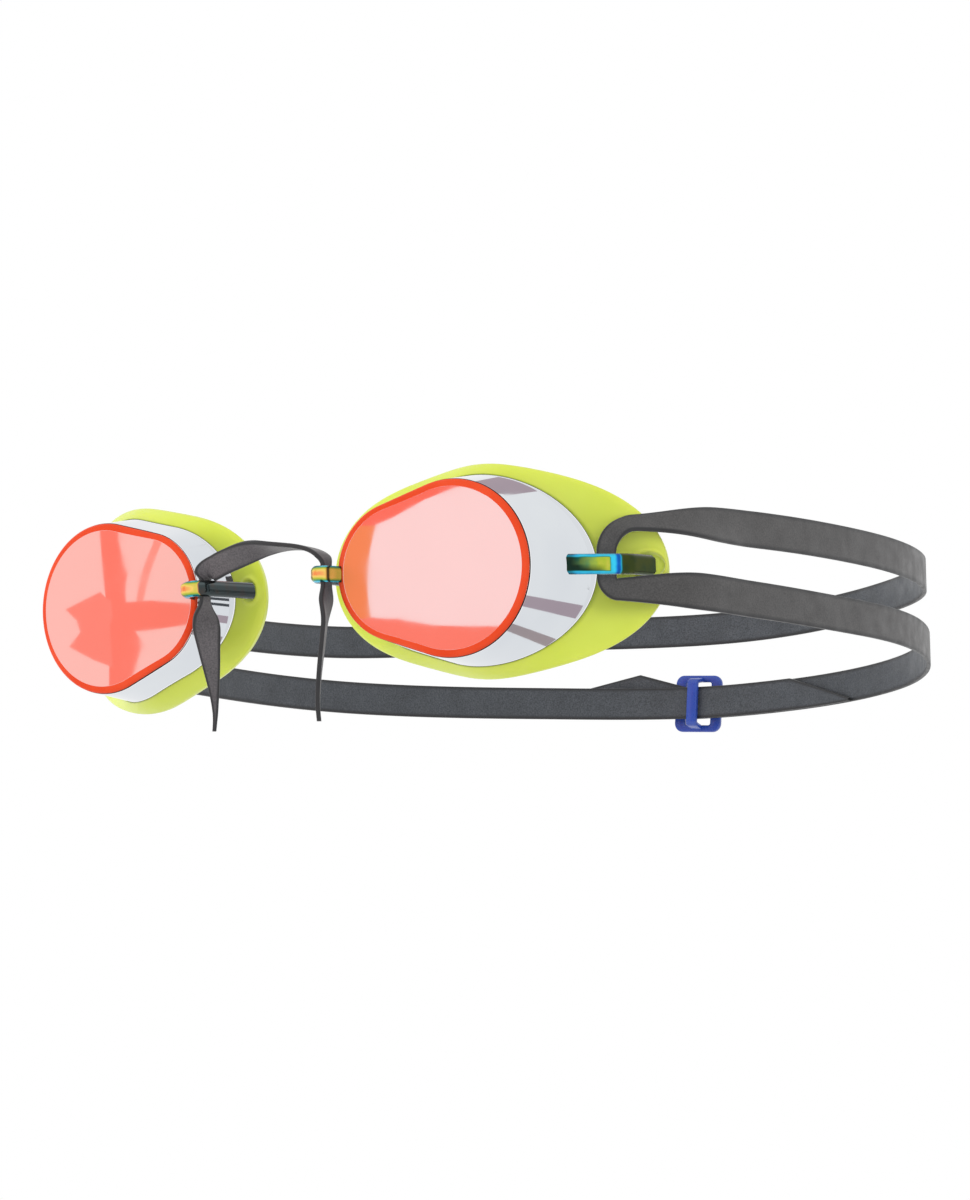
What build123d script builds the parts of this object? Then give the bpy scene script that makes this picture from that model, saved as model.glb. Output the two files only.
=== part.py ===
"""Racing swim goggles: two mirrored lens cups, two face gaskets, a nose strap, a head strap and a buckle.

Frame, in millimetres: the origin is on the bridge of the nose, midway between the eyepieces and level
with the nose edges of their gaskets. +Z is up, the wearer's face is towards +Y and +X is the wearer's
left. Each eyepiece is drawn in its own plane: x towards the temple, y back from the lens, z up.
"""

from build123d import *
import os
from math import cos, hypot, pi, radians, sin, sqrt

# ---- where the two eyepieces stand -------------------------------------------------------------
EYE_SPACING = 73.7       # between the centres of the two lens fronts
LENS_TO_BRIDGE = 12.5    # lens fronts lie this far in front of the origin
EYE_PITCH = 4.0          # degrees, lens top leans forward
EYE_ROLL = 2.0           # degrees, temple end dips
EYE_WRAP = 4.65          # degrees, temple end swings back

# ---- lens cup ------------------------------------------------------------------------------------
RING_CENTRE_X = 5.2      # centre from which every ring of the eyepiece is measured
RING_POINTS = 40
LENS_TEMPLE_R = 17.3     # round end of the lens front towards the temple
LENS_NOSE_R = 13.7
LENS_END_X = 5.8         # each round end's centre lies this far from the lens centre
LENS_BEVEL = 0.6
LENS_THICK = 2.0
WALL_TEMPLE_R = 18.95    # the side wall where it meets the flange
WALL_TEMPLE_X = 6.9
WALL_NOSE_R = 16.0
WALL_NOSE_X = -3.1
WALL_DEPTH = 13.1        # from the lens front back to the gasket, at the lens centre
WALL_SLOPE = 0.188       # growth of that depth towards the temple
WALL_BEND = 0.009        # and its curvature, to follow the face
WALL_CROWN = 0.012       # the wall is shallower at top and bottom
WALL_THICK = 1.6
FLANGE_THICK = 1.2
FLANGE_SHARE = 0.5       # of the gasket's width that the flange supports
FLANGE_TEMPLE_EXTRA = 0.36
FLANGE_NOSE_EXTRA = 0.22

# ---- gasket --------------------------------------------------------------------------------------
GASKET_R = 25.8          # mean radius of the outer edge, and how its outline departs from a circle
GASKET_WAVES = (0.65, 5.96, -0.25, 1.22)
GASKET_DEPTH = 17.2      # mean distance of the outer edge behind the lens front
GASKET_DEPTH_WAVES = (7.1, 3.3, 1.5, 0.7)
GASKET_SAG = 1.1         # the lower edge sits this much deeper than the middle, the upper one less deep
SKIN_CREST, SKIN_SHOULDER = 0.45, 0.85  # shares of its width at which the bulged front skin turns
GASKET_COVER = 1.1       # skin in front of the flange
GASKET_BULGE = 0.5
LIP_BACK = 2.8           # the lip curls back this far behind the outer edge
LIP_IN = 1.8
SEAL_THICK = 2.0         # cushion behind the flange
MOULD_GAP = 0.04         # between the gasket and the cup that it grips

# ---- bars ----------------------------------------------------------------------------------------
TEMPLE_BAR_HEIGHT = 4.0
TEMPLE_BAR_LIFT = 0.5    # its middle lies this far above the lens centre
TEMPLE_BAR_THICK = 2.0
TEMPLE_BAR_START = 13.4  # behind the lens front, on the side wall
TEMPLE_BAR_CORNER = (33.4, 20.0)
TEMPLE_LEG_OUT = 3.0     # the leg stands this far beyond the corner
TEMPLE_CORNER_CUT = 1.3  # the corner's inner side is set back by this
TEMPLE_ELBOW = (1.4, 1.7)  # from the corner to where the leg turns straight back
NOSE_BAR_HEIGHT = 3.2
NOSE_BAR_THICK = 1.6
NOSE_KNOB = (-21.2, -3.5)
NOSE_KNOB_R = 1.9
NOSE_STRAP_OFF = 2.5     # from the side wall out to the middle of the nose strap
NOSE_STEM_SET = 0.5      # the slot's front corner is set in by this towards the lens
BAR_SINK = 0.7           # how deep a bar runs into the wall or flange that carries it
POCKET_GAP = 0.35        # around a bar where it passes into the gasket

# ---- head strap ----------------------------------------------------------------------------------
STRAP_WIDTH = 7.4
STRAP_THICK = 0.9
STRAP_BAR_WIDTH = 3.9    # the band is gathered where it passes behind a temple bar
STRAP_SPREAD = 25.0      # and is flat again this far along
STRAP_CLEAR = 0.35       # between the band and what it passes
STRAP_SLACK = 0.65       # between a temple bar's inner face and the band
STRAP_CORNER_ROOM = 0.7  # between the band's edge and the bar's corner, along the bar
LOOP_HALF_WIDTH = 81.2   # the band's loop seen from above, round the head
LOOP_WIDEST_Y = 80.5
LOOP_BACK = 93.5         # from the widest place to the back of the head
LOOP_FRONT = 135.0       # the flatter curve that runs forward to the temples
LOOP_POWER = 2.2
LOOP_START = 0.42        # share of the half turn at which the band joins the head loop
SHOULDER_CLEAR = 1.3     # the band's middle passes the gasket's temple end at this distance
LOOP_STEPS = 14
LEAD_STEPS = 8
TEMPLE_RISE = 1.54       # widths of the gathered band from the bar up to the upper run's middle
TEMPLE_RISE_REACH = 1.6  # and along it, while it turns level
TEMPLE_DROP = 0.64       # the same two for the lower run
TEMPLE_DROP_REACH = 0.56
UPPER_HEIGHTS = (8.4, 9.4, 12.8, 12.3, 13.5, 12.3, 11.2)    # evenly spaced, from the wearer's right
LOWER_HEIGHTS = (-3.2, -3.3, -3.3, -4.9, -4.2, -2.9, -3.5)  # temple round the back to the left one
LAYER_GAP = 0.3          # between the two strap ends where they lie together
TAIL_LONG = 44.0         # free end inside the loop, measured from the buckle
TAIL_LONG_CUT = 18.0     # length of its slanted cut
TAIL_SHORT = 29.0        # free end outside the loop
TAIL_SHORT_CUT = 13.0
TAIL_RISE = 17.5         # degrees by which the short end points up
CUT_TIP = 0.7            # width of a slanted end at its tip

# ---- buckle --------------------------------------------------------------------------------------
BUCKLE_X = -12.5
BUCKLE_WIDTH = 11.6
BUCKLE_ROOM = 2.7        # its slots are this much higher than the band is wide
BUCKLE_BAR = 2.6         # width of each upright
BUCKLE_RAIL = 1.6        # height of the top and bottom rails
BUCKLE_THICK = 1.1
BUCKLE_CLEAR = 0.3
BUCKLE_CORNER = 2.0
BUCKLE_TILT = 4.0        # degrees in the plane of the strap

# ---- nose strap ----------------------------------------------------------------------------------
NOSE_STRAP_WIDTH = 5.0
NOSE_STRAP_THICK = 0.9
NOSE_SLOT_Y = 0.25       # behind the lens front, where the strap's middle passes a bar
NOSE_SLOT_WIDTH = 3.0    # the strap is gathered there, and full again this share of a tail or the arch on
NOSE_SPREAD = 0.14
NOSE_STRAP_CLEAR = 0.35  # between the top of a nose bar and the first bend of the strap
NOSE_ARCH = 5.0          # the middle of the arch stands this far above the ends of its straight part
NOSE_ARCH_POWER = 2.2
ARCH_STEPS = 16
NOSE_TAIL = 26.8
NOSE_TAIL_LEAN = 2.4     # both tips lean this far towards the nose
NOSE_TAIL_TIP = 0.8
RIGHT_TAIL_TWIST = 57.0  # degrees by which each tail has turned from the slot to its end
LEFT_TAIL_TWIST = -30.0

EYE_FRAME = (
    Pos(EYE_SPACING / 2, -LENS_TO_BRIDGE, 0)
    * Rot(0, 0, EYE_WRAP)
    * Rot(0, EYE_ROLL, 0)
    * Rot(EYE_PITCH, 0, 0)
)


# ---- rings of the eyepiece -----------------------------------------------------------------------
def egg_reach(angle, end_a, end_b):
    """Distance from the ring centre to the outline round two circles, along one direction.

    Each circle is (x, radius). The outline is the furthest of the discs that grow from one to the
    other; along a ray each disc reaches b + sqrt(r*r - h*h), b along the ray and h across it.
    """
    reach = 0.0
    for step in range(41):
        share = step / 40
        x = end_a[0] + (end_b[0] - end_a[0]) * share - RING_CENTRE_X
        r = end_a[1] + (end_b[1] - end_a[1]) * share
        along, across = x * cos(angle), x * sin(angle)
        if r > abs(across):
            reach = max(reach, along + sqrt(r * r - across * across))
    return reach


def lens_reach(angle):
    """Outline of the lens front."""
    return egg_reach(angle, (LENS_END_X, LENS_TEMPLE_R), (-LENS_END_X, LENS_NOSE_R))


def wall_reach(angle):
    """Outline of the side wall at the flange."""
    return egg_reach(angle, (WALL_TEMPLE_X, WALL_TEMPLE_R), (WALL_NOSE_X, WALL_NOSE_R))


def wall_depth(angle):
    """Distance behind the lens front at which the side wall meets the gasket."""
    reach = wall_reach(angle)
    x, z = RING_CENTRE_X + reach * cos(angle), reach * sin(angle)
    return WALL_DEPTH + WALL_SLOPE * x + WALL_BEND * x * x - WALL_CROWN * z * z


def waves(angle, mean, sizes):
    """A mean value plus one cosine wave for each size: one, two, three ... waves round the ring."""
    return mean + sum(size * cos((n + 1) * angle) for n, size in enumerate(sizes))


def gasket_edge(angle):
    """Radius and depth of the gasket's outer edge; its lower half sits a little deeper."""
    depth = waves(angle, GASKET_DEPTH, GASKET_DEPTH_WAVES) - GASKET_SAG * sin(angle)
    return waves(angle, GASKET_R, GASKET_WAVES), depth


def flange_share(angle):
    """Share of the gasket's width that the flange covers: more where a bar stands on it."""
    temple = ((1 + cos(angle)) / 2) ** 8
    nose = ((1 - cos(angle)) / 2) ** 8
    return FLANGE_SHARE + FLANGE_TEMPLE_EXTRA * temple + FLANGE_NOSE_EXTRA * nose


def flange_line(angle, share):
    """A point on the flange's front face: the share of the way from the wall to the gasket's edge."""
    reach, depth = wall_reach(angle), wall_depth(angle)
    edge_reach, edge_depth = gasket_edge(angle)
    return reach + share * (edge_reach - reach), depth + GASKET_COVER + share * (edge_depth - depth)


def cup_profile(angle):
    """Radius and depth of each corner of the cup's section, from the lens front round to its inside."""
    lens = lens_reach(angle)
    wall = wall_reach(angle)
    wall_r, flange_y = flange_line(angle, 0)
    edge_r, edge_y = flange_line(angle, flange_share(angle))
    return [
        (lens - LENS_BEVEL, 0),
        (lens, LENS_BEVEL),
        (wall_r, flange_y),
        (edge_r, edge_y),
        (edge_r, edge_y + FLANGE_THICK),
        (wall - WALL_THICK, flange_y + FLANGE_THICK),
        (lens - WALL_THICK, LENS_THICK),
    ]


def gasket_profile(angle):
    """Radius and depth of each corner of the gasket's section, which wraps round the flange."""
    wall, depth = wall_reach(angle), wall_depth(angle)
    edge_r, edge_y = gasket_edge(angle)
    width, fall = edge_r - wall, edge_y - depth
    length = hypot(width, fall)
    front_r, front_y = GASKET_BULGE * fall / length, -GASKET_BULGE * width / length
    flange_r, flange_y = flange_line(angle, flange_share(angle))
    _, seat_y = flange_line(angle, 0)
    seat_y += FLANGE_THICK + MOULD_GAP
    inner = wall - WALL_THICK
    return [
        (wall + MOULD_GAP, depth),
        (wall + SKIN_CREST * width + front_r, depth + SKIN_CREST * fall + front_y),
        (wall + SKIN_SHOULDER * width + front_r, depth + SKIN_SHOULDER * fall + front_y),
        (edge_r, edge_y),
        (edge_r - 0.35 * LIP_IN, edge_y + 0.6 * LIP_BACK),
        (edge_r - LIP_IN, edge_y + LIP_BACK),
        (inner + 0.8, seat_y + SEAL_THICK),
        (inner, seat_y),
        (flange_r + MOULD_GAP, flange_y + FLANGE_THICK + MOULD_GAP),
        (flange_r + MOULD_GAP, flange_y - MOULD_GAP),
        (wall + MOULD_GAP, depth + GASKET_COVER - MOULD_GAP),
    ]


def rings(profile):
    """One closed spline for each corner of a section, taken round the eyepiece."""
    angles = [2 * pi * n / RING_POINTS for n in range(RING_POINTS)]
    sections = [profile(angle) for angle in angles]
    edges = []
    for corner in range(len(sections[0])):
        points = []
        for angle, section in zip(angles, sections):
            reach, depth = section[corner]
            points.append((RING_CENTRE_X + reach * cos(angle), depth, reach * sin(angle)))
        edges.append(Edge.make_spline(points, periodic=True))
    return edges


def solid_from(faces):
    """A solid inside closed faces, turned right side out."""
    solid = Solid(Shell(faces))
    return solid if solid.volume > 0 else -solid


def make_cup():
    """The one-piece cup: lens, side wall, flange and both bars, in the eyepiece's own plane."""
    edges = rings(cup_profile)
    faces = [Face.make_surface_from_curves(a, b) for a, b in zip(edges, edges[1:])]
    faces += [Face(Wire([edges[0]])), Face(Wire([edges[-1]]))]
    return solid_from(faces) + temple_bar(0) + nose_bar(0)


def make_gasket():
    """The seal: a ring that wraps the flange, with a pocket where each bar passes through its skin."""
    edges = rings(gasket_profile)
    faces = [Face.make_surface_from_curves(a, b) for a, b in zip(edges, edges[1:] + edges[:1])]
    return solid_from(faces) - temple_bar(POCKET_GAP) - nose_bar(POCKET_GAP)


# ---- bars ----------------------------------------------------------------------------------------
def slab(points, height, grow):
    """A plan outline made solid, its height centred on z = 0, and grown all round by grow."""
    outline = make_face(Polyline(*[(x, y) for x, y in points], close=True))
    if grow:
        outline = offset(outline, grow, kind=Kind.INTERSECTION)
    return Pos(0, 0, -height / 2 - grow) * extrude(outline, height + 2 * grow)


def wall_x(side, depth):
    """x of the side wall's outer face at a depth, on the temple side (+1) or the nose side (-1)."""
    angle = 0 if side > 0 else pi
    front, back = lens_reach(angle), wall_reach(angle)
    share = depth / flange_line(angle, 0)[1]
    return RING_CENTRE_X + side * (front + (back - front) * share)


def flange_y_at(side, x):
    """Depth of the flange's front face at x, on the temple side (+1) or the nose side (-1)."""
    angle = 0 if side > 0 else pi
    wall_r, wall_y = flange_line(angle, 0)
    edge_r, edge_y = flange_line(angle, 1)
    reach = abs(x - RING_CENTRE_X)
    return wall_y + (edge_y - wall_y) * (reach - wall_r) / (edge_r - wall_r)


def temple_axis():
    """Start and unit direction of the temple bar's outer face, from the side wall to its corner."""
    start = (wall_x(1, TEMPLE_BAR_START), TEMPLE_BAR_START)
    run = (TEMPLE_BAR_CORNER[0] - start[0], TEMPLE_BAR_CORNER[1] - start[1])
    length = hypot(*run)
    return start, (run[0] / length, run[1] / length), length


def temple_bar(grow):
    """The handle from the side wall to the flange, round which the head strap is looped."""
    start, run, _ = temple_axis()
    corner = TEMPLE_BAR_CORNER
    inner_start = TEMPLE_BAR_START + TEMPLE_BAR_THICK / run[0]
    slope = run[1] / run[0]
    leg_out, leg_in = corner[0] + TEMPLE_LEG_OUT, corner[0] + TEMPLE_LEG_OUT - TEMPLE_BAR_THICK
    inner_y = corner[1] - TEMPLE_CORNER_CUT * slope + TEMPLE_BAR_THICK / run[0]
    inner_corner = (corner[0] - TEMPLE_CORNER_CUT, inner_y)
    points = [
        (start[0] - BAR_SINK, start[1] - BAR_SINK * slope),
        corner,
        (corner[0] + TEMPLE_ELBOW[0], corner[1] + TEMPLE_ELBOW[1]),
        (leg_out, flange_y_at(1, leg_out) + BAR_SINK),
        (leg_in, flange_y_at(1, leg_in) + BAR_SINK),
        (inner_corner[0] + TEMPLE_CORNER_CUT, inner_corner[1] + TEMPLE_ELBOW[1]),
        inner_corner,
        (wall_x(1, inner_start) - BAR_SINK, inner_start - BAR_SINK * slope),
    ]
    return Pos(0, 0, TEMPLE_BAR_LIFT) * slab(points, TEMPLE_BAR_HEIGHT, grow)


def nose_slot_x():
    """x of the middle of the nose strap where it passes through its slot."""
    return wall_x(-1, NOSE_SLOT_Y) - NOSE_STRAP_OFF


def nose_bar(grow):
    """The small handle that carries the nose strap: a knob ahead of the rim and a bar to the flange."""
    knob_x, knob_y = NOSE_KNOB
    inner_x = nose_slot_x() - NOSE_STRAP_THICK / 2 - NOSE_STRAP_CLEAR
    outer_x = inner_x - NOSE_BAR_THICK
    rim = wall_x(-1, 0)
    slot_front = NOSE_SLOT_Y - NOSE_SLOT_WIDTH / 2 - NOSE_STRAP_CLEAR
    points = [
        (rim + 0.9, 0.4),
        (rim - 0.1, knob_y - 0.6 * NOSE_KNOB_R),
        (knob_x, knob_y - NOSE_KNOB_R),
        (knob_x - 0.8 * NOSE_KNOB_R, knob_y - 0.5 * NOSE_KNOB_R),
        (outer_x, knob_y + NOSE_KNOB_R),
        (outer_x, flange_y_at(-1, outer_x) + BAR_SINK),
        (inner_x, flange_y_at(-1, inner_x) + BAR_SINK),
        (inner_x, slot_front),
        (inner_x + NOSE_STEM_SET, slot_front - NOSE_STEM_SET),
        (rim - NOSE_STEM_SET, slot_front),
        (rim + 0.7, 1.9),
    ]
    return slab(points, NOSE_BAR_HEIGHT, grow)


# ---- straps --------------------------------------------------------------------------------------
UP = Vector(0, 0, 1)
BACK = Vector(0, 1, 0)


def band(stations):
    """A flat strap lofted through its sections.

    Each station is (middle, width direction, thickness direction, width, thickness).
    """
    sections = []
    for middle, across, through, width, thick in stations:
        corners = []
        for a, b in ((-1, -1), (1, -1), (1, 1), (-1, 1)):
            corners.append(middle + across * (a * width / 2) + through * (b * thick / 2))
        sections.append(Wire.make_polygon(corners, close=True))
    return Solid.make_loft(sections, ruled=True)


def smooth(share):
    """0 below 0, 1 above 1, and an even S between: 3 s^2 - 2 s^3."""
    share = min(max(share, 0), 1)
    return share * share * (3 - 2 * share)


def eye_point(side, x, y, z):
    """A point of the left (+1) or right (-1) eyepiece, in the goggles' frame."""
    point = (EYE_FRAME * Pos(x, y, z)).position
    return Vector(side * point.X, point.Y, point.Z)


def loop_point(turn):
    """Plan of the head loop's +X half; turn runs from 0 at the front middle to 1 at the back middle.

    A superellipse with its own front and back depth: x = a sin^(2/n), y = widest + b cos^(2/n).
    """
    angle = pi * turn
    x = LOOP_HALF_WIDTH * max(sin(angle), 0) ** (2 / LOOP_POWER)
    reach = -LOOP_FRONT if turn < 0.5 else LOOP_BACK
    return Vector(x, LOOP_WIDEST_Y + reach * abs(cos(angle)) ** (2 / LOOP_POWER), 0)


def temple_exit(side):
    """Middle of the band behind a temple bar, and the level direction in which it leaves."""
    start, run, length = temple_axis()
    middle = length - STRAP_CORNER_ROOM - STRAP_BAR_WIDTH / 2
    behind = TEMPLE_BAR_THICK + STRAP_SLACK + STRAP_THICK / 2
    x = start[0] + run[0] * middle - run[1] * behind
    y = start[1] + run[1] * middle + run[0] * behind
    here = eye_point(side, x, y, TEMPLE_BAR_LIFT)
    way = eye_point(side, x + run[0], y + run[1], TEMPLE_BAR_LIFT) - here
    return here, Vector(way.X, way.Y, 0).normalized()


def temple_turn(side, sign):
    """Stations from a temple bar out to the upper (+1) or lower (-1) run, along a quarter turn.

    The band stays in the upright plane through the bar: it leaves the bar up or down, and turns
    through an ellipse quarter until it runs level.
    """
    here, way = temple_exit(side)
    straight = TEMPLE_BAR_HEIGHT / 2 + STRAP_CLEAR
    rise = (TEMPLE_RISE if sign > 0 else TEMPLE_DROP) * STRAP_BAR_WIDTH
    reach = (TEMPLE_RISE_REACH if sign > 0 else TEMPLE_DROP_REACH) * STRAP_BAR_WIDTH
    out = way.cross(UP) * side
    stations = []
    for step in range(7):
        angle = pi / 2 * step / 6
        middle = here + way * (reach * (1 - cos(angle))) + UP * sign * (straight + rise * sin(angle))
        along = way * (reach * sin(angle)) + UP * (sign * rise * cos(angle))
        across = (out.cross(along) * -sign * side).normalized()
        stations.append((middle, across, out, STRAP_BAR_WIDTH, STRAP_THICK))
    return stations


def gasket_shoulder():
    """Plan place where the band passes the temple end of the left gasket, clear of it."""
    reach, depth = gasket_edge(0)
    tip = eye_point(1, RING_CENTRE_X + reach, depth, 0)
    _, way = temple_exit(1)
    return Vector(tip.X, tip.Y, 0) + way.cross(UP) * SHOULDER_CLEAR


def plan_route(side, sign):
    """Plan points of one side of the loop, from the end of its temple turn to the back middle."""
    _, way = temple_exit(1)
    lead_start = temple_turn(1, sign)[-1][0]
    join = loop_point(LOOP_START)
    onward = (loop_point(LOOP_START + 0.01) - join).normalized()
    start = Vector(lead_start.X, lead_start.Y, 0)
    lead = Spline(start, gasket_shoulder(), join, tangents=(way, onward))
    points = [lead @ (n / LEAD_STEPS) for n in range(1, LEAD_STEPS)]
    points += [loop_point(LOOP_START + (1 - LOOP_START) * n / LOOP_STEPS) for n in range(LOOP_STEPS + 1)]
    return [Vector(side * p.X, p.Y, 0) for p in points]


def distances(points):
    """Distance of each point from the first, along the points."""
    total = [0.0]
    for a, b in zip(points, points[1:]):
        total.append(total[-1] + (b - a).length)
    return total


def height_at(side, sign, share):
    """Height of a run; share goes from 0 at this side's temple to 1 at the back middle."""
    heights = UPPER_HEIGHTS if sign > 0 else LOWER_HEIGHTS
    half = len(heights) // 2 + 1
    values = (temple_turn(side, sign)[-1][0].Z, *(heights[:half] if side < 0 else heights[::-1][:half]))
    place = min(share, 1) * half
    n = min(int(place), half - 1)
    return values[n] + (values[n + 1] - values[n]) * smooth(place - n)


def run(side, sign, shift):
    """Stations of one upright run, upper (+1) or lower (-1), from its temple turn to the back middle.

    shift moves the band outwards (or inwards, if negative) at the back, where two layers meet.
    """
    points = plan_route(side, sign)
    reach = distances(points)
    stations = []
    for n, point in enumerate(points):
        before, after = points[max(n - 1, 0)], points[min(n + 1, len(points) - 1)]
        along = (after - before).normalized() if n < len(points) - 1 else Vector(-side, 0, 0)
        out = along.cross(UP) * side
        share = reach[n] / reach[-1]
        middle = point + UP * height_at(side, sign, share) + out * (shift * smooth(2 * share - 0.6))
        width = STRAP_BAR_WIDTH + (STRAP_WIDTH - STRAP_BAR_WIDTH) * smooth((reach[n] + 6) / STRAP_SPREAD)
        stations.append((middle, UP * -sign, out, width, STRAP_THICK))
    return stations


def back_frame(x, shift):
    """Middle of the lower run at one x near the back, its outward direction and its way along +X."""
    side = 1 if x > 0 else -1
    stations = run(side, -1, shift)[::-1]
    for near, far in zip(stations, stations[1:]):
        if abs(far[0].X) >= abs(x):
            share = (abs(x) - abs(near[0].X)) / (abs(far[0].X) - abs(near[0].X))
            middle = near[0] + (far[0] - near[0]) * share
            out = (near[2] + (far[2] - near[2]) * share).normalized()
            return middle, out, UP.cross(out) * -1
    raise ValueError("x lies outside the back of the loop")


def long_tail(shift):
    """The inner free end: it follows the outer layer past the buckle, and its cut leaves the lower edge."""
    stations = []
    for step in range(9):
        free = TAIL_LONG * (1 - step / 9)
        width = min(STRAP_WIDTH, CUT_TIP + (STRAP_WIDTH - CUT_TIP) * (TAIL_LONG * step / 9) / TAIL_LONG_CUT)
        x = BUCKLE_X + free
        if x > 1:
            middle, out, _ = back_frame(x, shift)
            middle = middle - UP * (STRAP_WIDTH - width) / 2
            stations.append((middle, UP, out, width, STRAP_THICK))
    return stations


def short_tail(shift):
    """The outer free end: from the buckle it points up by TAIL_RISE, behind the other layer."""
    middle, out, level = back_frame(BUCKLE_X, shift)
    along = level * -cos(radians(TAIL_RISE)) + UP * sin(radians(TAIL_RISE))
    across = level * sin(radians(TAIL_RISE)) + UP * cos(radians(TAIL_RISE))
    stations = [(middle, (UP + across).normalized(), out, STRAP_WIDTH, STRAP_THICK)]
    cut_start = TAIL_SHORT - TAIL_SHORT_CUT
    for reach, width in ((2.5, STRAP_WIDTH), (cut_start, STRAP_WIDTH), (TAIL_SHORT, CUT_TIP)):
        place = middle + along * reach - across * ((STRAP_WIDTH - width) / 2)
        stations.append((place, across, out, width, STRAP_THICK))
    return stations


def make_head_strap():
    """One latex band: long tail, lower right-hand run, temple, upper run, temple, lower run, short tail."""
    layer = (STRAP_THICK + LAYER_GAP) / 2
    right_temple = temple_turn(-1, -1)[::-1] + temple_turn(-1, 1)
    left_temple = temple_turn(1, 1)[::-1] + temple_turn(1, -1)
    stations = long_tail(-layer) + run(-1, -1, -layer)[::-1] + right_temple + run(-1, 1, 0)
    stations += run(1, 1, 0)[-2::-1] + left_temple + run(1, -1, layer) + short_tail(layer)
    return band(stations)


def make_buckle():
    """Three uprights and two rails; the middle upright stands proud, so both layers pass straight behind."""
    gap = 2 * STRAP_THICK + LAYER_GAP + 2 * BUCKLE_CLEAR
    slot_height = STRAP_WIDTH + BUCKLE_ROOM
    height = slot_height + 2 * BUCKLE_RAIL
    frame = RectangleRounded(BUCKLE_WIDTH, height, BUCKLE_CORNER)
    frame -= Rectangle(BUCKLE_WIDTH - 2 * BUCKLE_BAR, slot_height)
    back = extrude(Plane.XZ * frame, BUCKLE_THICK)
    back = Pos(0, gap / 2 + BUCKLE_THICK, 0) * back
    bridge_depth = gap + 2 * BUCKLE_THICK
    bridge = Box(BUCKLE_BAR, bridge_depth, height)
    bridge -= Pos(0, BUCKLE_THICK, 0) * Box(2 * BUCKLE_BAR, bridge_depth, slot_height)
    middle, out, level = back_frame(BUCKLE_X, 0)
    place = Plane(origin=middle, x_dir=level, z_dir=level.cross(out))
    return place.location * Rot(0, BUCKLE_TILT, 0) * (back + bridge)


def nose_width(share):
    """Width of the nose strap: gathered in the slot (0), full a little further on."""
    return NOSE_SLOT_WIDTH + (NOSE_STRAP_WIDTH - NOSE_SLOT_WIDTH) * smooth(share / NOSE_SPREAD)


def nose_arch(slot, straight):
    """Stations of the arch over the nose, a superellipse from the right slot to the left one."""
    arch = []
    for step in range(ARCH_STEPS + 1):
        angle = pi * step / ARCH_STEPS
        bend = abs(cos(angle)) ** (2 / NOSE_ARCH_POWER) * (-1 if 2 * step < ARCH_STEPS else 1)
        rise = max(sin(angle), 0) ** (2 / NOSE_ARCH_POWER)
        arch.append(Vector(slot.X * bend, slot.Y, slot.Z + straight + NOSE_ARCH * rise))
    stations = []
    for n, middle in enumerate(arch):
        along = arch[min(n + 1, ARCH_STEPS)] - arch[max(n - 1, 0)]
        along = UP if n == 0 else UP * -1 if n == ARCH_STEPS else along.normalized()
        width = nose_width(min(n, ARCH_STEPS - n) / ARCH_STEPS)
        stations.append((middle, BACK, along.cross(BACK), width, NOSE_STRAP_THICK))
    return stations


def nose_tail(slot, straight, side, twist):
    """Stations of one hanging tail, from the slot down: it turns about its length and narrows to its tip."""
    tail = []
    for share in (0, 0.07, 0.14, 0.24, 0.4, 0.7, 1):
        turn = radians(twist) * smooth(share / 0.4)
        across = Vector(sin(turn), cos(turn), 0)
        lean = side * (slot.X - NOSE_TAIL_LEAN * share * share)
        middle = Vector(lean, slot.Y, slot.Z - straight - share * NOSE_TAIL)
        taper = smooth((share - 0.2) / 0.8)
        width = nose_width(share) * (1 - taper) + NOSE_TAIL_TIP * taper
        tail.append((middle, across, (UP * -side).cross(across), width, NOSE_STRAP_THICK))
    return tail


def make_nose_strap():
    """One strip: tail, up through the right bar, an arch over the nose, down through the left bar, tail."""
    slot = eye_point(1, nose_slot_x(), NOSE_SLOT_Y, 0)
    straight = NOSE_BAR_HEIGHT / 2 + NOSE_STRAP_CLEAR
    right_tail = nose_tail(slot, straight, -1, RIGHT_TAIL_TWIST)
    left_tail = nose_tail(slot, straight, 1, LEFT_TAIL_TWIST)
    return band(right_tail[::-1] + nose_arch(slot, straight) + left_tail)


# ---- the parts -----------------------------------------------------------------------------------
def main():
    os.makedirs("parts", exist_ok=True)
    left_cup = EYE_FRAME * make_cup()
    left_gasket = EYE_FRAME * make_gasket()
    parts = {
        "left_lens_cup": left_cup,
        "right_lens_cup": mirror(left_cup, about=Plane.YZ),
        "left_gasket": left_gasket,
        "right_gasket": mirror(left_gasket, about=Plane.YZ),
        "nose_strap": make_nose_strap(),
        "head_strap": make_head_strap(),
        "buckle": make_buckle(),
    }
    for name, solid in parts.items():
        export_step(solid, f"parts/{name}.step")


main()
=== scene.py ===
"""Racing swim goggles: finished surfaces, materials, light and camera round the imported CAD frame.

The CAD gives every place and size. The surfaces here repeat its formulas at a finer pitch, add the
rounded edges, the moulded details and the finishes, and ride on its bodies. Lengths in this script are
millimetres and become metres when a mesh is made. +Z is up, the wearer's face is towards +Y and +X is
the wearer's left. Each eyepiece is drawn in its own plane: x towards the temple, y back, z up.
"""

import math

import bpy
import numpy as np
from mathutils import Matrix, Vector


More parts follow.
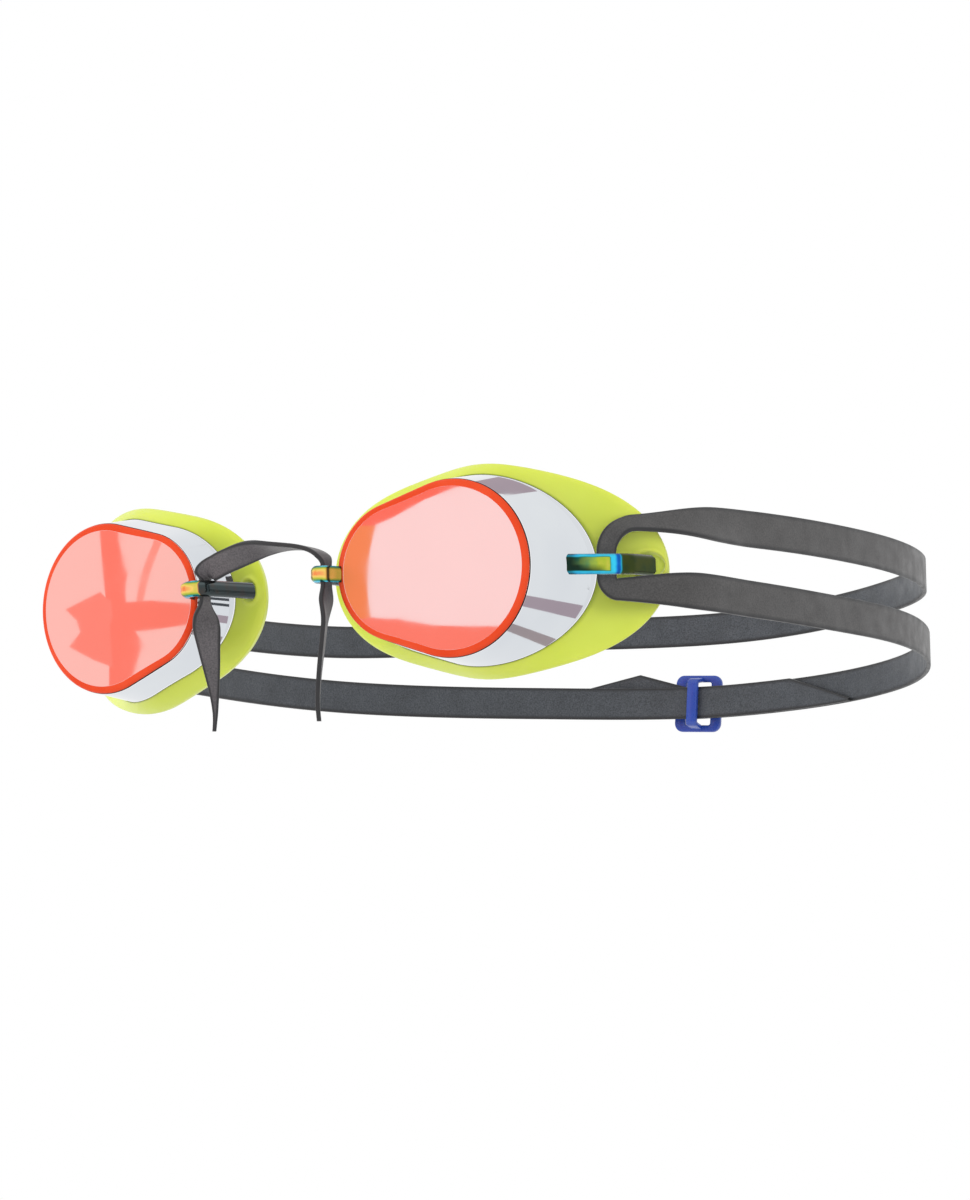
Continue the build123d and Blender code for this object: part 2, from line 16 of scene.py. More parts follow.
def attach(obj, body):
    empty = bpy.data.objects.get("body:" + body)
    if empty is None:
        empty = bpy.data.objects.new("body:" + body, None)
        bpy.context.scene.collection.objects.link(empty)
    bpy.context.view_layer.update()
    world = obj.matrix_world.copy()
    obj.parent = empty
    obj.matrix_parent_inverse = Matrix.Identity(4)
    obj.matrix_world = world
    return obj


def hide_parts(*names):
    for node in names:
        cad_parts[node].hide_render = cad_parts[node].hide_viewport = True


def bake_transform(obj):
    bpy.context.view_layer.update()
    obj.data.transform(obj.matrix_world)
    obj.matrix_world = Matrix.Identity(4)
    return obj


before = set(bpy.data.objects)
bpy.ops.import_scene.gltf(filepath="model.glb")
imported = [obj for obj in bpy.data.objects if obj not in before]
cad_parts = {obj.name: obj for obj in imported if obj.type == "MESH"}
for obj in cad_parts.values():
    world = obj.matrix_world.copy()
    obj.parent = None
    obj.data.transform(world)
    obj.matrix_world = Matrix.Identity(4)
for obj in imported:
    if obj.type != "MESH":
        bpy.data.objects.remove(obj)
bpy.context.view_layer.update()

MM = 0.001

# ---- the eyepieces -------------------------------------------------------------------------------
EYE_SPACING = 73.7
LENS_TO_BRIDGE = 12.5
EYE_PITCH, EYE_ROLL, EYE_WRAP = 4.0, 2.0, 4.65   # degrees about x, y and z
RING_CENTRE_X = 5.2
LENS_ENDS = ((5.8, 17.3), (-5.8, 13.7))          # centre and radius of each round end
WALL_ENDS = ((6.9, 18.95), (-3.1, 16.0))
WALL_DEPTH, WALL_SLOPE, WALL_BEND, WALL_CROWN = 13.1, 0.188, 0.009, 0.012
WALL_THICK = 1.6
LENS_THICK = 2.0
LENS_DOME = 0.22         # the lens front's rim lies this far behind its middle
RIM_WIDTH = 1.35         # coloured border of the lens front
RIM_FALL = 0.2
LENS_SHOULDER = 0.75     # where the rim ends and the side wall begins
FLANGE_THICK = 1.2
GASKET_R, GASKET_WAVES = 25.8, (0.65, 5.96, -0.25, 1.22)
GASKET_DEPTH, GASKET_DEPTH_WAVES = 17.2, (7.1, 3.3, 1.5, 0.7)
GASKET_SAG = 1.1         # the gasket's lower edge sits this much deeper than its middle
GASKET_COVER = 1.1
GASKET_BULGE = 0.5
SHADOW_LINE, HIGHLIGHT_LINE = 0.10, 0.40   # the wall's painted shadow line and painted highlight line start this far ahead of the gasket
LIP_BACK, LIP_IN = 2.8, 1.8
SEAL_THICK = 2.0
MOULD_GAP = 0.04

# ---- bars ----------------------------------------------------------------------------------------
TEMPLE_BAR_HEIGHT, TEMPLE_BAR_THICK = 4.0, 2.0
TEMPLE_BAR_LIFT = 0.5
TEMPLE_BAR_START = 13.4
TEMPLE_BAR_CORNER = (33.4, 20.0)
TEMPLE_LEG_OUT, TEMPLE_CORNER_CUT, TEMPLE_ELBOW = 3.0, 1.3, (1.4, 1.7)
NOSE_BAR_HEIGHT, NOSE_BAR_THICK = 3.2, 1.6
NOSE_KNOB, NOSE_KNOB_R = (-21.2, -3.5), 1.9
NOSE_STRAP_OFF = 2.5     # from the side wall to the middle of the nose strap
NOSE_STEM_SET = 0.5
BAR_SINK = 0.7

# ---- straps --------------------------------------------------------------------------------------
STRAP_WIDTH, STRAP_THICK = 7.4, 0.9
STRAP_BAR_WIDTH = 3.9    # the band is gathered behind a temple bar
STRAP_CORNER_ROOM = 0.7
STRAP_SPREAD = 25.0
STRAP_CLEAR, STRAP_SLACK = 0.35, 0.65
LOOP_HALF_WIDTH, LOOP_WIDEST_Y, LOOP_BACK, LOOP_FRONT, LOOP_POWER = 81.2, 80.5, 93.5, 135.0, 2.2
LOOP_START = 0.42
SHOULDER_CLEAR = 1.3     # the band's middle passes the gasket's temple end at this distance
TEMPLE_RISE, TEMPLE_RISE_REACH, TEMPLE_DROP, TEMPLE_DROP_REACH = 1.54, 1.6, 0.64, 0.56
TEMPLE_ROLL = 40.0       # degrees by which the upper run leans in behind a bar
UPPER_HEIGHTS = (8.4, 9.4, 12.8, 12.3, 13.5, 12.3, 11.2)
LOWER_HEIGHTS = (-3.2, -3.3, -3.3, -4.9, -4.2, -2.9, -3.5)
LAYER_GAP = 0.3
TAIL_LONG, TAIL_LONG_CUT = 44.0, 18.0
TAIL_SHORT, TAIL_SHORT_CUT, TAIL_RISE = 29.0, 13.0, 17.5
CUT_TIP = 0.7
STRAP_CUT_Y = 38.0       # the temple pieces of the head strap end here and the back piece begins
BUCKLE_X = -12.5
BUCKLE_WIDTH, BUCKLE_ROOM, BUCKLE_BAR, BUCKLE_RAIL = 11.6, 2.7, 2.6, 1.6
BUCKLE_THICK, BUCKLE_CLEAR, BUCKLE_CORNER, BUCKLE_TILT = 1.1, 0.3, 2.0, 4.0
NOSE_STRAP_WIDTH, NOSE_STRAP_THICK = 5.0, 0.9
NOSE_SLOT_Y, NOSE_SLOT_WIDTH, NOSE_SPREAD, NOSE_STRAP_CLEAR = 0.25, 3.0, 0.14, 0.35
NOSE_ARCH, NOSE_ARCH_POWER, NOSE_ARCH_SAG = 5.0, 2.2, 0.8
NOSE_TAIL, NOSE_TAIL_TIP, NOSE_TAIL_LEAN = 26.8, 0.8, 2.4
NOSE_TAIL_CURL, NOSE_TAIL_BULGE = 0.6, 0.6
RIGHT_TAIL_TWIST, LEFT_TAIL_TWIST = 57.0, -30.0

# ---- camera --------------------------------------------------------------------------------------
VIEW_AZIMUTH, VIEW_ELEVATION, VIEW_ROLL = 33.36, -8.348, -0.942
VIEW_DISTANCE = 892.7
VIEW_SHIFT_RIGHT, VIEW_SHIFT_UP = 42.823, -2.528
VIEW_LENS = 134.7
FIT_Y = 12.5             # the view was set out from the lens fronts

UP = np.array([0.0, 0.0, 1.0])
BACK = np.array([0.0, 1.0, 0.0])
FACING = np.array([-0.55, 0.83, 0.0])   # the nose strap's outer face turns this way beside the right eye


# ---- small tools ---------------------------------------------------------------------------------
def unit(v):
    """Each vector divided by its own length."""
    return v / np.linalg.norm(v, axis=-1, keepdims=True)


def smooth(share):
    """0 below 0, 1 above 1, and 3 s^2 - 2 s^3 between."""
    share = np.clip(share, 0, 1)
    return share * share * (3 - 2 * share)


def turn_matrix(axis, degrees):
    """Rotation about one of the axes x, y or z."""
    return np.array(Matrix.Rotation(math.radians(degrees), 3, axis))


EYE_TURN = turn_matrix("Z", EYE_WRAP) @ turn_matrix("Y", EYE_ROLL) @ turn_matrix("X", EYE_PITCH)
EYE_PLACE = np.array([EYE_SPACING / 2, -LENS_TO_BRIDGE, 0.0])


def eye_to_frame(points, side):
    """Points of an eyepiece's own plane, turned and moved to the left (+1) or right (-1) eye."""
    placed = points @ EYE_TURN.T + EYE_PLACE
    return placed * np.array([side, 1, 1])


def rounded(corners, cuts, steps=6, ring=False):
    """A section's corners, each replaced by a short curve.

    corners is corner x column x 2. A corner C with a cut d starts at C + d towards the one before and
    ends at C + d towards the next, along (1-t)^2 start + 2t(1-t) C + t^2 end. A cut of 0 stays sharp.
    """
    t = np.linspace(0, 1, steps)[:, None, None]
    rows = []
    count = len(corners)
    for n, (corner, cut) in enumerate(zip(corners, cuts)):
        inner = ring or 0 < n < count - 1
        if np.all(cut == 0) or not inner:
            rows.append(corner[None])
            continue
        start = corner + cut * unit(corners[n - 1] - corner)
        end = corner + cut * unit(corners[(n + 1) % count] - corner)
        rows.append((1 - t) ** 2 * start + 2 * t * (1 - t) * corner + t**2 * end)
    return np.concatenate(rows)


def filled(rows, pitch):
    """Extra rows between each two, evenly spaced, so that none is further from the next than pitch."""
    out = [rows[:1]]
    for a, b in zip(rows, rows[1:]):
        gap = np.linalg.norm(b - a, axis=-1).max()
        share = np.linspace(0, 1, max(int(math.ceil(gap / pitch)), 1) + 1)[1:]
        out.append(a + (b - a) * share.reshape((-1,) + (1,) * a.ndim))
    return np.concatenate(out)


def shell_mesh(name, grid, materials, region=None, traits=None, ring=False, sharp=40):
    """A closed mesh on a grid of points whose columns run round it.

    The rows close on the first one (ring) or end in a fan round the end row's middle. region gives
    each row's material, and traits are values at each grid point that the materials read.
    """
    rows, cols, _ = grid.shape
    i, j = np.meshgrid(np.arange(rows if ring else rows - 1), np.arange(cols), indexing="ij")
    below, beside = (i + 1) % rows, (j + 1) % cols
    quads = np.stack([i * cols + j, i * cols + beside, below * cols + beside, below * cols + j], -1)
    points = grid.reshape(-1, 3)
    faces = quads.reshape(-1, 4).tolist()
    region = np.zeros(rows, int) if region is None else np.asarray(region)
    slots = np.repeat(region[: len(i)], cols)
    traits = {key: value.reshape(-1) for key, value in (traits or {}).items()}
    if not ring:
        column = np.arange(cols)
        ahead = (column + 1) % cols
        last = (rows - 1) * cols
        first_fan = np.stack([np.full(cols, rows * cols), ahead, column], -1)
        last_fan = np.stack([np.full(cols, rows * cols + 1), last + column, last + ahead], -1)
        points = np.vstack([points, grid[0].mean(0), grid[-1].mean(0)])
        faces += first_fan.tolist() + last_fan.tolist()
        slots = np.concatenate([slots, np.full(cols, region[0]), np.full(cols, region[-1])])
        traits = {key: np.append(value, [value[:cols].mean(), value[-cols:].mean()])
                  for key, value in traits.items()}
    flat = quads.reshape(-1, 4)
    a, b, c, d = (points[flat[:, k]] for k in range(4))
    volume = np.einsum("ij,ij->i", a, np.cross(b, c) + np.cross(c, d)).sum()
    if volume < 0:
        faces = [face[::-1] for face in faces]
    mesh = bpy.data.meshes.new(name)
    mesh.from_pydata((points * MM).tolist(), [], faces)
    for material in materials:
        mesh.materials.append(material)
    mesh.polygons.foreach_set("material_index", slots.astype(np.int32))
    for key, value in traits.items():
        mesh.attributes.new(key, "FLOAT", "POINT").data.foreach_set("value", value.astype(np.float32))
    mesh.shade_smooth()
    mesh.set_sharp_from_angle(angle=math.radians(sharp))
    mesh.update()
    piece = bpy.data.objects.new(name, mesh)
    bpy.context.scene.collection.objects.link(piece)
    return piece


def joined(name, pieces):
    """Several meshes made one piece."""
    with bpy.context.temp_override(active_object=pieces[0], selected_editable_objects=pieces,
                                   object=pieces[0], selected_objects=pieces):
        bpy.ops.object.join()
    pieces[0].name = name
    pieces[0].data.name = name
    return pieces[0]


# ---- materials -----------------------------------------------------------------------------------
class Finish:
    """A node material on one Principled shader, with short calls for the nodes that feed it."""

    def __init__(self, name, **values):
        self.material = bpy.data.materials.new(name)
        self.material.use_nodes = True
        self.nodes = self.material.node_tree.nodes
        self.links = self.material.node_tree.links
        self.shader = self.nodes["Principled BSDF"]
        self.place = self.nodes.new("ShaderNodeTexCoord").outputs["Object"]
        for key, value in values.items():
            self.shader.inputs[key.replace("_", " ")].default_value = value

    def feed(self, socket, source):
        """A node's output led to one of the shader's inputs."""
        self.links.new(source, self.shader.inputs[socket])

    def noise(self, scale, detail):
        """Noise in object space; scale is in features for each metre."""
        node = self.nodes.new("ShaderNodeTexNoise")
        node.inputs["Scale"].default_value = scale
        node.inputs["Detail"].default_value = detail
        self.links.new(self.place, node.inputs["Vector"])
        return node.outputs["Fac"]

    def trait(self, name):
        """A value that the mesh holds at each of its points."""
        node = self.nodes.new("ShaderNodeAttribute")
        node.attribute_name = name
        return node.outputs["Fac"]

    def ramp(self, source, stops):
        """Colours at places along a value from 0 to 1."""
        node = self.nodes.new("ShaderNodeValToRGB")
        elements = node.color_ramp.elements
        while len(elements) < len(stops):
            elements.new(0.5)
        for element, (place, colour) in zip(elements, stops):
            element.position = place
            element.color = (*colour, 1)
        self.links.new(source, node.inputs["Fac"])
        return node.outputs["Color"]

    def mix(self, factor, a, b, blend="MIX"):
        """Two colours mixed by a factor."""
        node = self.nodes.new("ShaderNodeMix")
        node.data_type = "RGBA"
        node.blend_type = blend
        for socket, value in ((node.inputs["Factor"], factor), (node.inputs["A"], a),
                              (node.inputs["B"], b)):
            self.put(socket, value)
        return node.outputs["Result"]

    def put(self, socket, value):
        """A node's output, a colour or a number set on one input."""
        if isinstance(value, bpy.types.NodeSocket):
            self.links.new(value, socket)
        elif isinstance(value, tuple):
            socket.default_value = (*value, 1)
        else:
            socket.default_value = value

    def span(self, source, low, high, from_low=0.3, from_high=0.7):
        """A value stretched from one range to another."""
        node = self.nodes.new("ShaderNodeMapRange")
        node.inputs["From Min"].default_value = from_low
        node.inputs["From Max"].default_value = from_high
        node.inputs["To Min"].default_value = low
        node.inputs["To Max"].default_value = high
        self.links.new(source, node.inputs["Value"])
        return node.outputs["Result"]

    def bump(self, source, strength, distance):
        """Fine relief from a value, with its depth in metres."""
        node = self.nodes.new("ShaderNodeBump")
        node.inputs["Strength"].default_value = strength
        node.inputs["Distance"].default_value = distance
        self.links.new(source, node.inputs["Height"])
        self.feed("Normal", node.outputs["Normal"])


def mirror_front():
    """Red-orange lens under a strong mirror coat: pale where it reflects light, coral elsewhere."""
    finish = Finish("mirror_front", IOR=3.4, Specular_IOR_Level=0.98, Coat_Weight=0.6, Coat_IOR=1.8,
                    Coat_Roughness=0.02)
    haze = finish.ramp(finish.noise(60, 2), [(0.3, (0.93, 0.085, 0.050)), (0.7, (0.96, 0.11, 0.075))])
    finish.feed("Base Color", haze)
    finish.feed("Roughness", finish.span(finish.noise(140, 2), 0.015, 0.04))
    return finish.material


def lens_rim():
    """The saturated red-orange border of the lens, glossy but hardly mirrored."""
    finish = Finish("lens_rim", IOR=1.36, Specular_IOR_Level=0.35)
    tone = finish.noise(90, 2)
    finish.feed("Base Color", finish.ramp(tone, [(0.3, (0.80, 0.050, 0.004)), (0.7, (0.90, 0.085, 0.022))]))
    finish.feed("Roughness", finish.span(finish.noise(300, 2), 0.16, 0.26))
    return finish.material


def chrome(name, dark, light):
    """Silver mirror of moulded plastic, with the finest ripple."""
    finish = Finish(name, Metallic=1.0)
    finish.feed("Base Color", finish.ramp(finish.noise(55, 2), [(0.3, dark), (0.7, light)]))
    finish.feed("Roughness", finish.span(finish.noise(160, 2), 0.03, 0.07))
    finish.bump(finish.noise(110, 2), 0.06, 0.0002)
    return finish.material


def edge_shadow():
    """Painted shade: the near-black line where two moulded parts meet, behind the lens rim and ahead of the
    gasket.
    """
    finish = Finish("edge_shadow", IOR=1.4)
    tone = finish.noise(400, 2)
    finish.feed("Base Color", finish.ramp(tone, [(0.3, (0.010, 0.008, 0.010)), (0.7, (0.03, 0.022, 0.024))]))
    finish.feed("Roughness", finish.span(finish.noise(300, 2), 0.4, 0.6))
    return finish.material


def lens_inside():
    """The inner side of the cup: smoked orange plastic seen from behind."""
    finish = Finish("lens_inside", IOR=1.58, Coat_Weight=0.3, Coat_Roughness=0.05)
    tone = finish.noise(70, 2)
    finish.feed("Base Color", finish.ramp(tone, [(0.3, (0.17, 0.055, 0.035)), (0.7, (0.23, 0.075, 0.05))]))
    finish.feed("Roughness", finish.span(finish.noise(200, 2), 0.10, 0.18))
    return finish.material


def lime_rubber():
    """Soft translucent silicone: lime, with painted shade making it a darker olive where it meets the side
    wall, and a satin skin.
    """
    finish = Finish("lime_rubber", IOR=1.41, Subsurface_Weight=0.35, Subsurface_Scale=0.0025,
                    Coat_Weight=0.35, Coat_Roughness=0.12)
    finish.shader.inputs["Subsurface Radius"].default_value = (1.0, 1.1, 0.25)
    cloud = finish.ramp(finish.noise(45, 3), [(0.3, (0.69, 0.80, 0.060)), (0.72, (0.80, 0.90, 0.115))])
    # Painted shade: the lime turns a darker olive where the front skin meets the side wall.
    depth = finish.span(finish.trait("wall_shade"), 0.0, 1.0, 0.0, 1.0)
    finish.feed("Base Color", finish.mix(depth, cloud, (0.40, 0.52, 0.02)))
    finish.feed("Roughness", finish.span(finish.noise(700, 4), 0.34, 0.48))
    finish.bump(finish.noise(2600, 3), 0.10, 0.00006)
    return finish.material


def oil_film():
    """Metal coat whose thin film runs through blue, cyan, green, gold and orange, with painted shade
    darkening it in places.
    """
    finish = Finish("oil_film", Metallic=1.0)
    shift = finish.span(finish.noise(420, 2), -0.04, 0.04)
    add = finish.nodes.new("ShaderNodeMath")
    finish.links.new(finish.trait("film"), add.inputs[0])
    finish.links.new(shift, add.inputs[1])
    colours = [(0.0, (0.010, 0.030, 0.16)), (0.14, (0.01, 0.16, 0.62)), (0.28, (0.05, 0.62, 0.90)),
               (0.42, (0.03, 0.26, 0.16)), (0.55, (0.42, 0.52, 0.045)), (0.70, (0.95, 0.66, 0.16)),
               (0.84, (0.95, 0.33, 0.12)), (1.0, (0.42, 0.52, 0.54))]
    film = finish.ramp(add.outputs[0], colours)
    # Painted shade: each point's dark value mixes the film towards near-black.
    dark = finish.ramp(finish.trait("dark"), [(0.0, (0, 0, 0)), (1.0, (1, 1, 1))])
    finish.feed("Base Color", finish.mix(dark, film, (0.008, 0.012, 0.012)))
    finish.feed("Roughness", finish.span(finish.noise(500, 2), 0.10, 0.20))
    return finish.material


def latex(name, outer_dark, outer_light, inner_dark, inner_light):
    """Dull dark latex: speckled, streaked along the band, powdery on one face, and with painted shade making
    it darker at its cut edges.
    """
    finish = Finish(name, IOR=1.52, Sheen_Weight=0.10, Sheen_Roughness=0.5)
    speckle = finish.noise(3200, 4)
    outer = finish.ramp(speckle, [(0.34, outer_dark), (0.66, outer_light)])
    inner = finish.ramp(speckle, [(0.34, inner_dark), (0.66, inner_light)])
    face = finish.mix(finish.trait("inner_face"), outer, inner)
    patches = finish.ramp(finish.noise(210, 4), [(0.3, (0.84, 0.84, 0.84)), (0.7, (1.10, 1.10, 1.10))])
    face = finish.mix(1.0, face, patches, "MULTIPLY")
    # Painted shade: the colour goes towards near-black at the band's cut edges.
    edge = finish.span(finish.trait("edge_shade"), 0.0, 1.0, 0.0, 1.0)
    finish.feed("Base Color", finish.mix(edge, face, (0.012, 0.012, 0.014)))
    finish.feed("Roughness", finish.span(finish.noise(300, 4), 0.36, 0.56))
    finish.bump(finish.noise(2200, 4), 0.25, 0.00008)
    return finish.material


def blue_plastic():
    """Glossy royal blue moulded plastic with a light orange-peel skin."""
    finish = Finish("blue_plastic", IOR=1.5, Coat_Weight=0.25, Coat_Roughness=0.08)
    tone = finish.noise(130, 3)
    finish.feed("Base Color", finish.ramp(tone, [(0.3, (0.018, 0.055, 0.36)), (0.7, (0.030, 0.085, 0.46))]))
    finish.feed("Roughness", finish.span(finish.noise(450, 3), 0.20, 0.34))
    finish.bump(finish.noise(900, 3), 0.12, 0.0001)
    return finish.material


MIRROR_FRONT = mirror_front()
LENS_RIM = lens_rim()
CHROME = chrome("chrome_wall", (0.66, 0.69, 0.73), (0.71, 0.74, 0.77))
# Painted highlight: a brighter silver for the cup's thin highlight lines.
CHROME_HIGHLIGHT = chrome("chrome_highlight", (0.93, 0.93, 0.93), (0.97, 0.97, 0.97))
# Painted shade for the cup's dark lines.
EDGE_SHADOW = edge_shadow()
LENS_INSIDE = lens_inside()
LIME = lime_rubber()
FILM = oil_film()
BAND_LATEX = latex("band_latex", (0.042, 0.040, 0.041), (0.076, 0.073, 0.072),
                   (0.034, 0.039, 0.047), (0.084, 0.092, 0.106))
NOSE_LATEX = latex("nose_latex", (0.052, 0.044, 0.050), (0.090, 0.078, 0.084),
                   (0.070, 0.062, 0.068), (0.130, 0.118, 0.124))
BLUE = blue_plastic()


# ---- rings of the eyepiece -----------------------------------------------------------------------
def egg_reach(angle, ends):
    """Distance from the ring centre to the outline round two circles.

    The outline is the furthest of the discs that grow from one circle to the other; along a ray each
    reaches b + sqrt(r*r - h*h), with b along the ray and h across it.
    """
    share = np.linspace(0, 1, 81)[:, None]
    (x_a, r_a), (x_b, r_b) = ends
    x = x_a + (x_b - x_a) * share - RING_CENTRE_X
    r = r_a + (r_b - r_a) * share
    room = r * r - (x * np.sin(angle)) ** 2
    return np.where(room > 0, x * np.cos(angle) + np.sqrt(np.maximum(room, 0)), 0).max(axis=0)


def wall_depth(angle):
    """Depth at which the side wall meets the gasket: a curve in x, less at the top and bottom."""
    reach = egg_reach(angle, WALL_ENDS)
    x, z = RING_CENTRE_X + reach * np.cos(angle), reach * np.sin(angle)
    return WALL_DEPTH + WALL_SLOPE * x + WALL_BEND * x * x - WALL_CROWN * z * z


def waves(angle, mean, sizes):
    """A mean plus one cosine wave for each size: one, two, three ... waves round the ring."""
    return mean + sum(size * np.cos((n + 1) * angle) for n, size in enumerate(sizes))


def gasket_edge(angle):
    """Radius and depth of the gasket's outer edge."""
    depth = waves(angle, GASKET_DEPTH, GASKET_DEPTH_WAVES) - GASKET_SAG * np.sin(angle)
    return waves(angle, GASKET_R, GASKET_WAVES), depth


def flange_line(angle, share):
    """The flange's front face: a share of the way from the wall to the gasket's edge."""
    reach, depth = egg_reach(angle, WALL_ENDS), wall_depth(angle)
    edge_reach, edge_depth = gasket_edge(angle)
    return reach + share * (edge_reach - reach), depth + GASKET_COVER + share * (edge_depth - depth)


def wall_reach(angle, depth):
    """Radius of the side wall at a depth: it runs straight from the lens's edge to the flange."""
    lens, (wall, flange_y) = egg_reach(angle, LENS_ENDS), flange_line(angle, 0)
    return lens + (wall - lens) * depth / flange_y


def around(section, angles):
    """Section points (radius, depth) turned round the ring centre into x, y, z."""
    reach, depth = section[..., 0], section[..., 1]
    return np.stack([RING_CENTRE_X + reach * np.cos(angles), depth, reach * np.sin(angles)], -1)


def ring_angles(count):
    """Angles round the ring, closer together at the temple and nose ends: a + k sin 2a falls there."""
    even = np.linspace(0, 2 * np.pi, count, endpoint=False)
    return even - 0.25 * np.sin(2 * even)


def make_lens_cup(side, name):
    """Lens front, coloured rim, shoulder, side wall, and the inside back to the lens, as one shell."""
    angles = ring_angles(256)
    lens, wall = egg_reach(angles, LENS_ENDS), egg_reach(angles, WALL_ENDS)
    _, flange_y = flange_line(angles, 0)
    zero = np.zeros_like(angles)

    def at(reach, depth):
        """Section points at one radius and depth for each angle."""
        return np.stack([reach, zero + depth], -1)

    flat = lens - RIM_WIDTH
    share = np.append(np.linspace(0.06, 0.97, 14), [0.996, 1])[:, None]
    front = np.stack([flat * share, LENS_DOME * share**2 + 0 * flat], -1)
    rim = rounded(np.stack([
        front[-1], at(lens - 0.25, LENS_DOME + RIM_FALL), at(lens + 0.05, LENS_SHOULDER),
    ]), (0, 0.22, 0))
    step = np.stack([at(lens + 0.02, LENS_SHOULDER + 0.02), at(lens + 0.01, LENS_SHOULDER + 0.16)])
    shoulder = np.stack([at(lens - 0.12, LENS_SHOULDER + 0.19), at(lens - 0.12, LENS_SHOULDER + 0.33)])
    shadow_y, highlight_y = (flange_y - GASKET_COVER - ahead for ahead in (SHADOW_LINE, HIGHLIGHT_LINE))

    def on_wall(depth_row):
        """Section points on the side wall's outer face."""
        return np.stack([wall_reach(angles, depth_row), depth_row], -1)

    ledge = np.stack([on_wall(zero + LENS_SHOULDER + 0.40), on_wall(zero + LENS_SHOULDER + 0.58)])
    side_wall = filled(np.stack([on_wall(zero + LENS_SHOULDER + 0.60), on_wall(highlight_y)]), 1.2)
    highlight_line = np.stack([on_wall(highlight_y + 0.02), on_wall(shadow_y)])
    shadow_line = np.stack([on_wall(shadow_y + 0.02), on_wall(flange_y)])
    flange_r, flange_back = flange_line(angles, 0.3)
    inside = filled(np.stack([
        np.stack([flange_r, flange_back], -1), np.stack([flange_r, flange_back + FLANGE_THICK], -1),
        at(wall - WALL_THICK, flange_y + FLANGE_THICK), at(lens - WALL_THICK - 0.6, LENS_THICK + 0.5),
        at(lens - WALL_THICK - 1.4, LENS_THICK),
    ]), 3.0)
    back = np.stack([(lens - WALL_THICK - 1.4) * s for s in (0.66, 0.33, 0.06)])
    back = np.stack([back, 0 * back + LENS_THICK], -1)
    section = np.concatenate([front, rim[1:], step, shoulder, ledge, side_wall, highlight_line, shadow_line,
                              inside, back])
    counts = (len(front) - 1, len(rim), len(step) - 1, len(shoulder) + 1, len(ledge), len(side_wall),
              len(highlight_line), len(shadow_line) - 1, 1, len(inside) + len(back))
    # Regions 4 and 5 are painted light. Region 4, a brighter silver, is painted highlight on the step, the
    # ledge, the line ahead of the dark one and the flange's front that the side wall mirrors. Region 5,
    # near-black, is painted shade on the shoulder and on the line next to the gasket.
    region = np.repeat([0, 1, 4, 5, 4, 2, 4, 5, 4, 3], counts)
    points = around(section, angles)
    grid = eye_to_frame(points, side)
    materials = (MIRROR_FRONT, LENS_RIM, CHROME, LENS_INSIDE, CHROME_HIGHLIGHT, EDGE_SHADOW)
    return shell_mesh(name, grid, materials, region, sharp=30)


def make_gasket(side, name):
    """Soft ring with a bulged front skin, a rolled lip, a dished back and ridges round each bar's foot."""
    angles = ring_angles(420)
    wall, depth = egg_reach(angles, WALL_ENDS), wall_depth(angles)
    edge_r, edge_y = gasket_edge(angles)
    width, fall = edge_r - wall, edge_y - depth
    length = np.hypot(width, fall)
    front_r, front_y = GASKET_BULGE * fall / length, -GASKET_BULGE * width / length
    _, seat_y = flange_line(angles, 0)
    seat_y = seat_y + FLANGE_THICK + MOULD_GAP
    inner = wall - WALL_THICK

    def at(reach, back):
        """Section points at one radius and depth for each angle."""
        return np.stack([reach, back], -1)

    corners = np.stack([
        at(wall_reach(angles, depth + 0.3) + MOULD_GAP, depth + 0.3),
        at(wall_reach(angles, depth - 0.2) + MOULD_GAP + 0.08, depth - 0.2),
        at(wall + 0.45 * width + front_r, depth + 0.45 * fall + front_y),
        at(wall + 0.85 * width + front_r, depth + 0.85 * fall + front_y),
        at(edge_r, edge_y),
        at(edge_r - 0.35 * LIP_IN, edge_y + 0.6 * LIP_BACK),
        at(edge_r - LIP_IN, edge_y + LIP_BACK),
        at(edge_r - 1.9 * LIP_IN, edge_y + 0.8 * LIP_BACK),
        at(inner + 0.8, seat_y + SEAL_THICK),
        at(inner, seat_y),
    ])
    crest, shoulder, brim = (np.minimum(most, part * length)[:, None] for most, part in
                             ((1.5, 0.20), (1.0, 0.09), (0.7, 0.05)))
    cuts = (0.05, 0.15, crest, shoulder, brim, 0.7, 0.55, 1.0, 0.6, 0.3)
    section = rounded(corners, cuts, 7, ring=True)
    section = filled(np.concatenate([section, section[:1]]), 0.55)[:-1]
    points = around(section, angles)
    section_wall = (points[..., 1] < (edge_y + 0.3)) * 1.0
    reach = (section[..., 0] - wall) / np.maximum(width, 1)
    # Painted shade weight: 1 at the side wall, fading within about a twentieth of the gasket's width, on the
    # front skin only.
    wall_shade = np.exp(-((reach / 0.05) ** 2)) * section_wall
    temple_foot = (TEMPLE_BAR_CORNER[0] + TEMPLE_LEG_OUT - 0.9, TEMPLE_BAR_LIFT)
    nose_foot = (sum(nose_bar_sides()) / 2, 0.0)
    feet = ((temple_foot, (2.7, 2.6), 0.75, 0.9), (nose_foot, (1.9, 2.2), 0.45, 0.7))
    for centre, size, ridge, dip in feet:
        apart = np.hypot((points[..., 0] - centre[0]) / size[0], (points[..., 2] - centre[1]) / size[1])
        rise = ridge * np.exp(-(((apart - 1.15) / 0.22) ** 2)) - dip * smooth((1.05 - apart) / 0.35)
        points[..., 1] -= rise * section_wall
    grid = eye_to_frame(points, side)
    return shell_mesh(name, grid, (LIME,), traits={"wall_shade": wall_shade}, ring=True, sharp=70)


# ---- bars ----------------------------------------------------------------------------------------
def wall_x(side, depth):
    """x of the side wall's outer face at a depth, on the temple side (+1) or the nose side (-1)."""
    return RING_CENTRE_X + side * wall_reach(np.array([0.0 if side > 0 else np.pi]), depth)[0]


